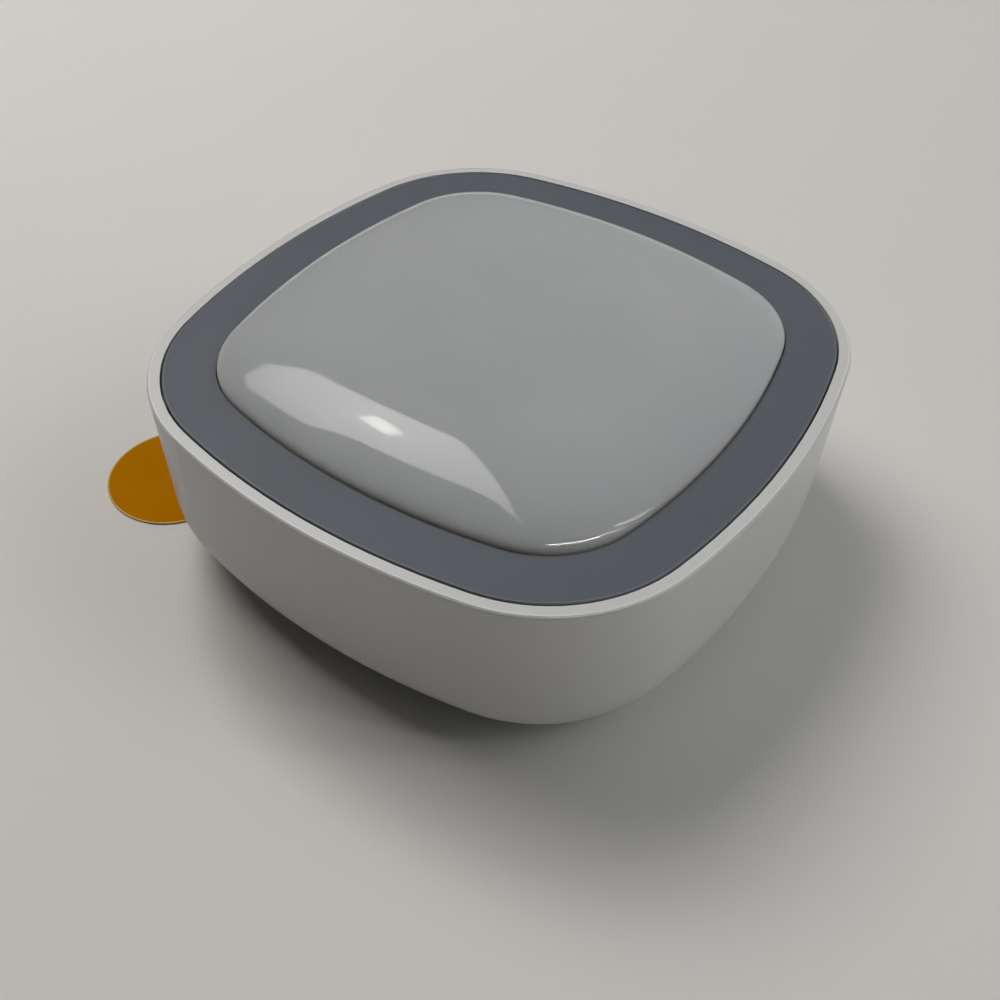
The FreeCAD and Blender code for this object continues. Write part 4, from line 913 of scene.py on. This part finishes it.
def radio_details():
    """Pressed rib and bosses on the radio's shield, and the plated pads on its board's edges."""
    low, high = box_of("radio_shield")
    level = high[2] - PRINT_SINK
    mesh = bmesh.new()
    rib_low = [value + RIB_INSET for value in low[:2]]
    rib_high = [value - RIB_INSET for value in high[:2]]
    frame_line(mesh, rib_low, rib_high, RIB_WIDTH, RIB_HEIGHT, level)
    for y in BOSS_Y:
        for x in BOSS_X:
            tube_ring(mesh, BOSS_OUTER, BOSS_INNER, BOSS_HEIGHT, (x, y, level), 24)
    finish_piece("shield_rib", mesh, "sensor", "sensor_metal")
    low, high = box_of("radio_board")
    size = (*EDGE_PAD_SIZE, high[2] - low[2] + EDGE_PAD_PROUD)
    mesh = bmesh.new()
    for x in (low[0] + EDGE_PAD_INSET, high[0] - EDGE_PAD_INSET):
        for index in range(EDGE_PAD_COUNT):
            at = (x, EDGE_PAD_START + index * EDGE_PAD_PITCH, BOARD_TOP)
            block(mesh, size, at, EDGE_PAD_SOFTNESS)
    finish_piece("radio_edge_pads", mesh, "sensor", "copper")


# Copper runs on the board, each as its corner points
RUNS = (
    ((-14.7, 14), (-16.2, 12.5), (-16.2, 8.2), (-15.9, 6.9)),
    ((-13.3, 14), (-12.7, 13.2), (-12.7, 10.4), (-14.6, 8.6), (-14.64, 6.9)),
    ((-10.7, 14), (-10.7, 10.2), (-13.3, 7.8), (-13.36, 6.9)),
    ((-9.3, 14), (-9.3, 9.6), (-12.0, 7.4), (-12.1, 6.9)),
    ((-6.7, 14), (-6.7, 9.2), (-4.9, 7.2)),
    ((-5.3, 14), (-5.3, 10.4), (-2.6, 7.6)),
    ((-2.7, 14), (-2.7, 11.6), (-0.6, 9.4), (-0.6, 7.0)),
    ((1.3, 14), (1.3, 7.2)),
    ((2.7, 14), (2.7, 9.4), (4.9, 7.0)),
    ((5.3, 14), (5.3, 9.6), (9.0, 5.9), (13.3, 5.9)),
    ((6.7, 14), (6.7, 10.2), (9.9, 7.0), (9.9, 4.2), (13.3, 4.2)),
    ((9.3, 14), (9.3, 10.4), (12.0, 8.6), (20.4, 8.6), (20.4, 5.8)),
    ((10.7, 14), (10.7, 11.6), (12.2, 10.2), (22.6, 10.2), (24.4, 8.2), (24.4, -4.0)),
    ((14.7, 14), (17.2, 14), (20.6, 17.4)),
    ((-15.9, 1.1), (-15.9, -1.2), (-18.6, -4.0), (-18.6, -12.6), (-14.4, -16.8), (-8.4, -16.8)),
    ((-14.64, 1.1), (-14.64, -2.0), (-16.6, -4.2), (-16.6, -11.6), (-13.0, -15.5), (-8.4, -15.5)),
    ((-13.36, 1.1), (-13.36, -1.2), (-11.6, -3.0), (-10.3, -3.0)),
    ((-12.1, 1.1), (-12.1, -0.4), (-8.3, -0.4), (-6.4, -0.4)),
    ((-8.7, -3.0), (-6.6, -3.0)),
    ((-12.7, -8.8), (-14.2, -7.4), (-14.2, -5.4)),
    ((-8.7, -8.8), (-8.7, -6.4), (-6.0, -4.4)),
    ((-4.7, -8.8), (-4.7, -6.4)),
    ((-3.3, -8.8), (-3.3, -11.6)),
    ((-0.7, -8.8), (-0.7, -6.8)),
    ((0.7, -8.8), (0.7, -11.6)),
    ((3.3, -8.8), (3.3, -6.6)),
    ((4.7, -8.8), (4.7, -11.6)),
    ((7.3, -8.8), (7.3, -5.4), (8.2, -4.2)),
    ((11.3, -8.8), (11.3, -6.4), (10.8, -4.2)),
    ((12.7, -8.8), (15.0, -8.8), (17.4, -6.4), (17.4, 2.6)),
    ((8.4, -14.1), (13.6, -14.1), (21.6, -6.2), (21.6, 2.0)),
    ((8.4, -15.4), (14.2, -15.4), (23.0, -6.6), (23.0, 6.4)),
)
RUN_WIDTH = 0.42
RUN_HEIGHT = 0.035
VIAS = (
    (-4.9, 7.2), (-2.6, 7.6), (-0.6, 7.0), (1.3, 7.2), (4.9, 7.0), (20.6, 17.4), (24.4, -4.0),
    (-6.4, -0.4), (-6.6, -3.0), (-14.2, -5.4), (-6.0, -4.4), (-4.7, -6.4), (-0.7, -6.8),
    (3.3, -6.6), (21.6, 2.0), (23.0, 6.4), (17.4, 2.6), (-21.0, 6.0), (-21.0, -2.0), (-22.4, 2.0),
)
VIA_OUTER = 0.5
VIA_INNER = 0.2
TEST_PADS = ((-22.0, 12.0), (-22.0, 9.4), (-24.4, 10.7), (21.0, -12.4), (23.4, -13.6))
TEST_PAD_RADIUS = 0.9
SCREW_X = (-18.5, 18.5)
SCREW_Y = (-22.5, 22.5)
SEAT_OUTER = 2.7
SEAT_INNER = 1.3
SEAT_HEIGHT = 0.04
SEAT_SINK = 0.03
PAD_HEIGHT = 0.05
PAD_SINK = 0.005
PAD_SOFTNESS = 0.02
CHIP_PAD_SIZE = (0.8, 1.0, PAD_HEIGHT)
CHIP_PAD_REACH = 0.95
LEG_PAD_SIZE = (0.6, 1.3, PAD_HEIGHT)


def board_copper():
    """Masked copper runs, and the tinned pads, vias and screw seats."""
    mesh = bmesh.new()
    for run in RUNS:
        track(mesh, run, RUN_WIDTH, RUN_HEIGHT, BOARD_TOP)
    finish_piece("board_tracks", mesh, "sensor", "board", "masked_copper")
    mesh = bmesh.new()
    level = BOARD_TOP - PAD_SINK
    for x, y in VIAS:
        tube_ring(mesh, VIA_OUTER, VIA_INNER, PAD_HEIGHT, (x, y, level), 20)
    for x, y in TEST_PADS:
        disc(mesh, TEST_PAD_RADIUS, PAD_HEIGHT, (x, y, level), 32)
    for x in SCREW_X:
        for y in SCREW_Y:
            tube_ring(mesh, SEAT_OUTER, SEAT_INNER, SEAT_HEIGHT, (x, y, BOARD_TOP - SEAT_SINK), 48)
    for _, places, y in CHIP_ROWS:
        for x in places:
            for side in (-1, 1):
                at = (x + side * CHIP_PAD_REACH, y, level)
                block(mesh, CHIP_PAD_SIZE, at, PAD_SOFTNESS)
    for x in LEG_X:
        for y in LEG_Y:
            block(mesh, LEG_PAD_SIZE, (x, y, BOARD_TOP - 2 * PAD_SINK), PAD_SOFTNESS)
    finish_piece("board_pads", mesh, "sensor", "sensor_metal", "tinned")


# White print on the board: the corners of each outline, and the lines' widths
OUTLINES = (
    ((-17.0, 0.2), (-11.0, 7.8)),
    ((12.6, 2.3), (21.4, 7.7)),
    ((-11.3, -4.2), (-7.7, -1.8)),
    ((7.0, -5.0), (12.0, -1.0)),
    ((-8.9, -24.6), (8.9, -11.4)),
)
OUTLINE_WIDTH = 0.18
CHIP_OUTLINE_HALF = (1.5, 0.75)
CHIP_OUTLINE_WIDTH = 0.14
SENSOR_CIRCLE_OUTER = 6.4
SENSOR_CIRCLE_INNER = 6.2
BOARD_PLUS_AT = (19.6, 8.9)
BOARD_PLUS_LENGTH = 1.2
BOARD_PLUS_WIDTH = 0.2


def board_print():
    """White outlines round the parts and the sensor, and a plus sign."""
    mesh = bmesh.new()
    for low, high in OUTLINES:
        frame_line(mesh, low, high, OUTLINE_WIDTH, PRINT_HEIGHT, BOARD_TOP)
    half_x, half_y = CHIP_OUTLINE_HALF
    for _, places, y in CHIP_ROWS:
        for x in places:
            low = (x - half_x, y - half_y)
            high = (x + half_x, y + half_y)
            frame_line(mesh, low, high, CHIP_OUTLINE_WIDTH, PRINT_HEIGHT, BOARD_TOP)
    circle_at = (0, 0, BOARD_TOP)
    tube_ring(mesh, SENSOR_CIRCLE_OUTER, SENSOR_CIRCLE_INNER, PRINT_HEIGHT, circle_at, 96)
    plus_at = (*BOARD_PLUS_AT, BOARD_TOP)
    plus_sign(mesh, BOARD_PLUS_LENGTH, BOARD_PLUS_WIDTH, PRINT_HEIGHT, plus_at)
    finish_piece("board_print", mesh, "sensor", "white_inner", "legend")


# Desk: its size in metres, and in millimetres where its glow starts and is full
DESK_SIZE = 12
GLOW_START = 210.0
GLOW_FULL = 600.0
FAR_GLOW = 0.38


def desk():
    """Pale desk. Far out, where the lamps don't reach, it glows as a lit room's floor does."""
    bpy.ops.mesh.primitive_plane_add(size=DESK_SIZE)
    floor = bpy.context.object
    floor.name = "desk"
    finish = Finish("desk_white", (0.69, 0.675, 0.65), 0.53, Specular_IOR_Level=0.25)
    finish.shade(finish.noise(60, 4), 0.008)
    finish.gloss(finish.noise(25, 3), 0.5, 0.56)
    finish.relief((finish.noise(1.2, 2), 0.003))
    nearness = finish.nearness(GLOW_FULL)
    dark_share = 1 - GLOW_START / GLOW_FULL
    finish.glow((1.0, 0.98, 0.94), nearness, FAR_GLOW, 0, 0, dark_share)
    finish.material.cycles.emission_sampling = "NONE"
    floor.data.materials.append(finish.material)


# Skylight: its outline, its level and the sun's place in metres, the sun's reach in millimetres
SKYLIGHT_CORNERS = (
    (-0.58, 0.25), (-0.25, 0.25), (-0.06, 0.045), (-0.18, 0.115), (-0.33, 0.105),
    (-0.38, 0.045), (-0.52, 0.03), (-0.62, 0.12),
)
SKYLIGHT_ROUNDING = 0.016
SKYLIGHT_LEVEL = 0.52
SUN_AT = Vector((-0.315, 0.198, SKYLIGHT_LEVEL))
SUN_REACH = 330.0
SUN_GLOW = 6.0
SKY_GLOW = 1.7


def skylight():
    """Glowing window overhead, which the lens mirrors. It is brightest round the sun."""
    mesh = bmesh.new()
    corners = [mesh.verts.new((x, y, SKYLIGHT_LEVEL)) for x, y in SKYLIGHT_CORNERS]
    mesh.faces.new(corners)
    bmesh.ops.bevel(
        mesh,
        geom=corners,
        offset=SKYLIGHT_ROUNDING,
        affect="VERTICES",
        segments=5,
        profile=0.5,
        material=-1,
    )
    bmesh.ops.translate(mesh, vec=-SUN_AT, verts=mesh.verts)
    data = bpy.data.meshes.new("skylight")
    mesh.to_mesh(data)
    mesh.free()
    pane = Finish("skylight_glow", (0.0, 0.0, 0.0), 0.5, Specular_IOR_Level=0.0)
    pane.glow((1.0, 0.99, 0.98), pane.nearness(SUN_REACH), SKY_GLOW, SUN_GLOW)
    data.materials.append(pane.material)
    window = bpy.data.objects.new("skylight", data)
    window.location = SUN_AT
    bpy.context.scene.collection.objects.link(window)
    window.visible_camera = False
    window.visible_shadow = False


# Lamps: name, place and size in metres, power in watts, and a turn about the vertical in degrees.
# A lamp with no turn faces the part. The last two say if it is seen in gloss and if it lights.
WHITE = (1.0, 1.0, 1.0)
WINDOW_WHITE = (1.0, 0.97, 0.93)
SUN_WHITE = (1.0, 0.96, 0.9)
LAMPS = (
    ("window", (-0.364, 0.084, 0.532), (0.364, 0.364), 2.12, None, WINDOW_WHITE, False, True),
    ("skylight_sun", (-0.316, 0.193, 0.515), (0.042, 0.032), 0.035, -20, SUN_WHITE, True, True),
    ("side_window_low", (0.85, 0.29, 0.52), (1.08, 0.05), 1.0, 25, WHITE, True, True),
    ("side_window_high", (0.79, 0.42, 0.52), (1.08, 0.05), 1.0, 25, WHITE, True, True),
    ("side_window_end", (0.30, -0.05, 0.52), (0.36, 0.06), 1.6, 46, WHITE, True, False),
)


def soft_light(name, at, size, power, turn, colour, glossy, diffuse):
    """Flat rectangular light that faces down, turned by some degrees, or faces the part."""
    data = bpy.data.lights.new(name, "AREA")
    data.shape = "RECTANGLE"
    data.size, data.size_y = size
    data.energy = power
    data.color = colour
    light = bpy.data.objects.new(name, data)
    bpy.context.scene.collection.objects.link(light)
    light.location = at
    if turn is None:
        light.rotation_euler = (-Vector(at)).to_track_quat("-Z", "Y").to_euler()
    else:
        light.rotation_euler = (0, 0, radians(turn))
    light.visible_glossy = glossy
    light.visible_diffuse = diffuse


# Room: where it is brightest, how its light falls off from there, and the wall that is seen
ROOM_AZIMUTH = radians(50)
ROOM_ELEVATION = radians(14)
ROOM_STOPS = ((0.1, 0.0), (0.35, 0.1), (0.65, 0.48), (0.9, 0.9))
ROOM_STRENGTH = 0.71
ROOM_COOLNESS = (0.97, 1.0, 1.02)
ROOM_WALL = (0.50, 0.495, 0.485, 1)


def room_light():
    """A room that is brightest low down on the right, and dark on the left and overhead."""
    world = bpy.data.worlds.new("room")
    world.use_nodes = True
    tree = world.node_tree
    background = tree.nodes["Background"]
    place = tree.nodes.new("ShaderNodeTexCoord")
    towards = tree.nodes.new("ShaderNodeVectorMath")
    towards.operation = "DOT_PRODUCT"
    towards.inputs[1].default_value = (
        cos(ROOM_ELEVATION) * cos(ROOM_AZIMUTH),
        cos(ROOM_ELEVATION) * sin(ROOM_AZIMUTH),
        sin(ROOM_ELEVATION),
    )
    tree.links.new(place.outputs["Generated"], towards.inputs[0])
    ramp = tree.nodes.new("ShaderNodeValToRGB")
    ramp.color_ramp.interpolation = "B_SPLINE"
    while len(ramp.color_ramp.elements) < len(ROOM_STOPS):
        ramp.color_ramp.elements.new(1)
    for element, (position, level) in zip(ramp.color_ramp.elements, ROOM_STOPS):
        element.position = position
        element.color = (*(level * channel for channel in ROOM_COOLNESS), 1)
    tree.links.new(towards.outputs["Value"], ramp.inputs["Fac"])
    tree.links.new(ramp.outputs["Color"], background.inputs["Color"])
    background.inputs["Strength"].default_value = ROOM_STRENGTH
    wall = tree.nodes.new("ShaderNodeBackground")
    wall.inputs["Color"].default_value = ROOM_WALL
    rays = tree.nodes.new("ShaderNodeLightPath")
    seen = tree.nodes.new("ShaderNodeMixShader")
    tree.links.new(rays.outputs["Is Camera Ray"], seen.inputs["Fac"])
    tree.links.new(background.outputs["Background"], seen.inputs[1])
    tree.links.new(wall.outputs["Background"], seen.inputs[2])
    tree.links.new(seen.outputs["Shader"], tree.nodes["World Output"].inputs["Surface"])
    bpy.context.scene.world = world


def set_lights():
    for lamp in LAMPS:
        soft_light(*lamp)
    skylight()
    room_light()
    bpy.context.scene.view_settings.view_transform = "Standard"


def dress_nodes():
    """Gives every CAD node the finish of its material slot."""
    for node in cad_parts.values():
        slot = node.material_slots[0].material.name
        node.data.materials.clear()
        node.data.materials.append(finishes[slot])


set_camera()
finishes = make_finishes()
dress_nodes()
milky_dome()
edge_lines()
pull_film()
film_painted_glow_edge()
turn_marks()
cell_mark()
chip_ends()
bulk_capacitor_details()
chip_marks()
element_electrodes()
radio_details()
board_copper()
board_print()
desk()
set_lights()
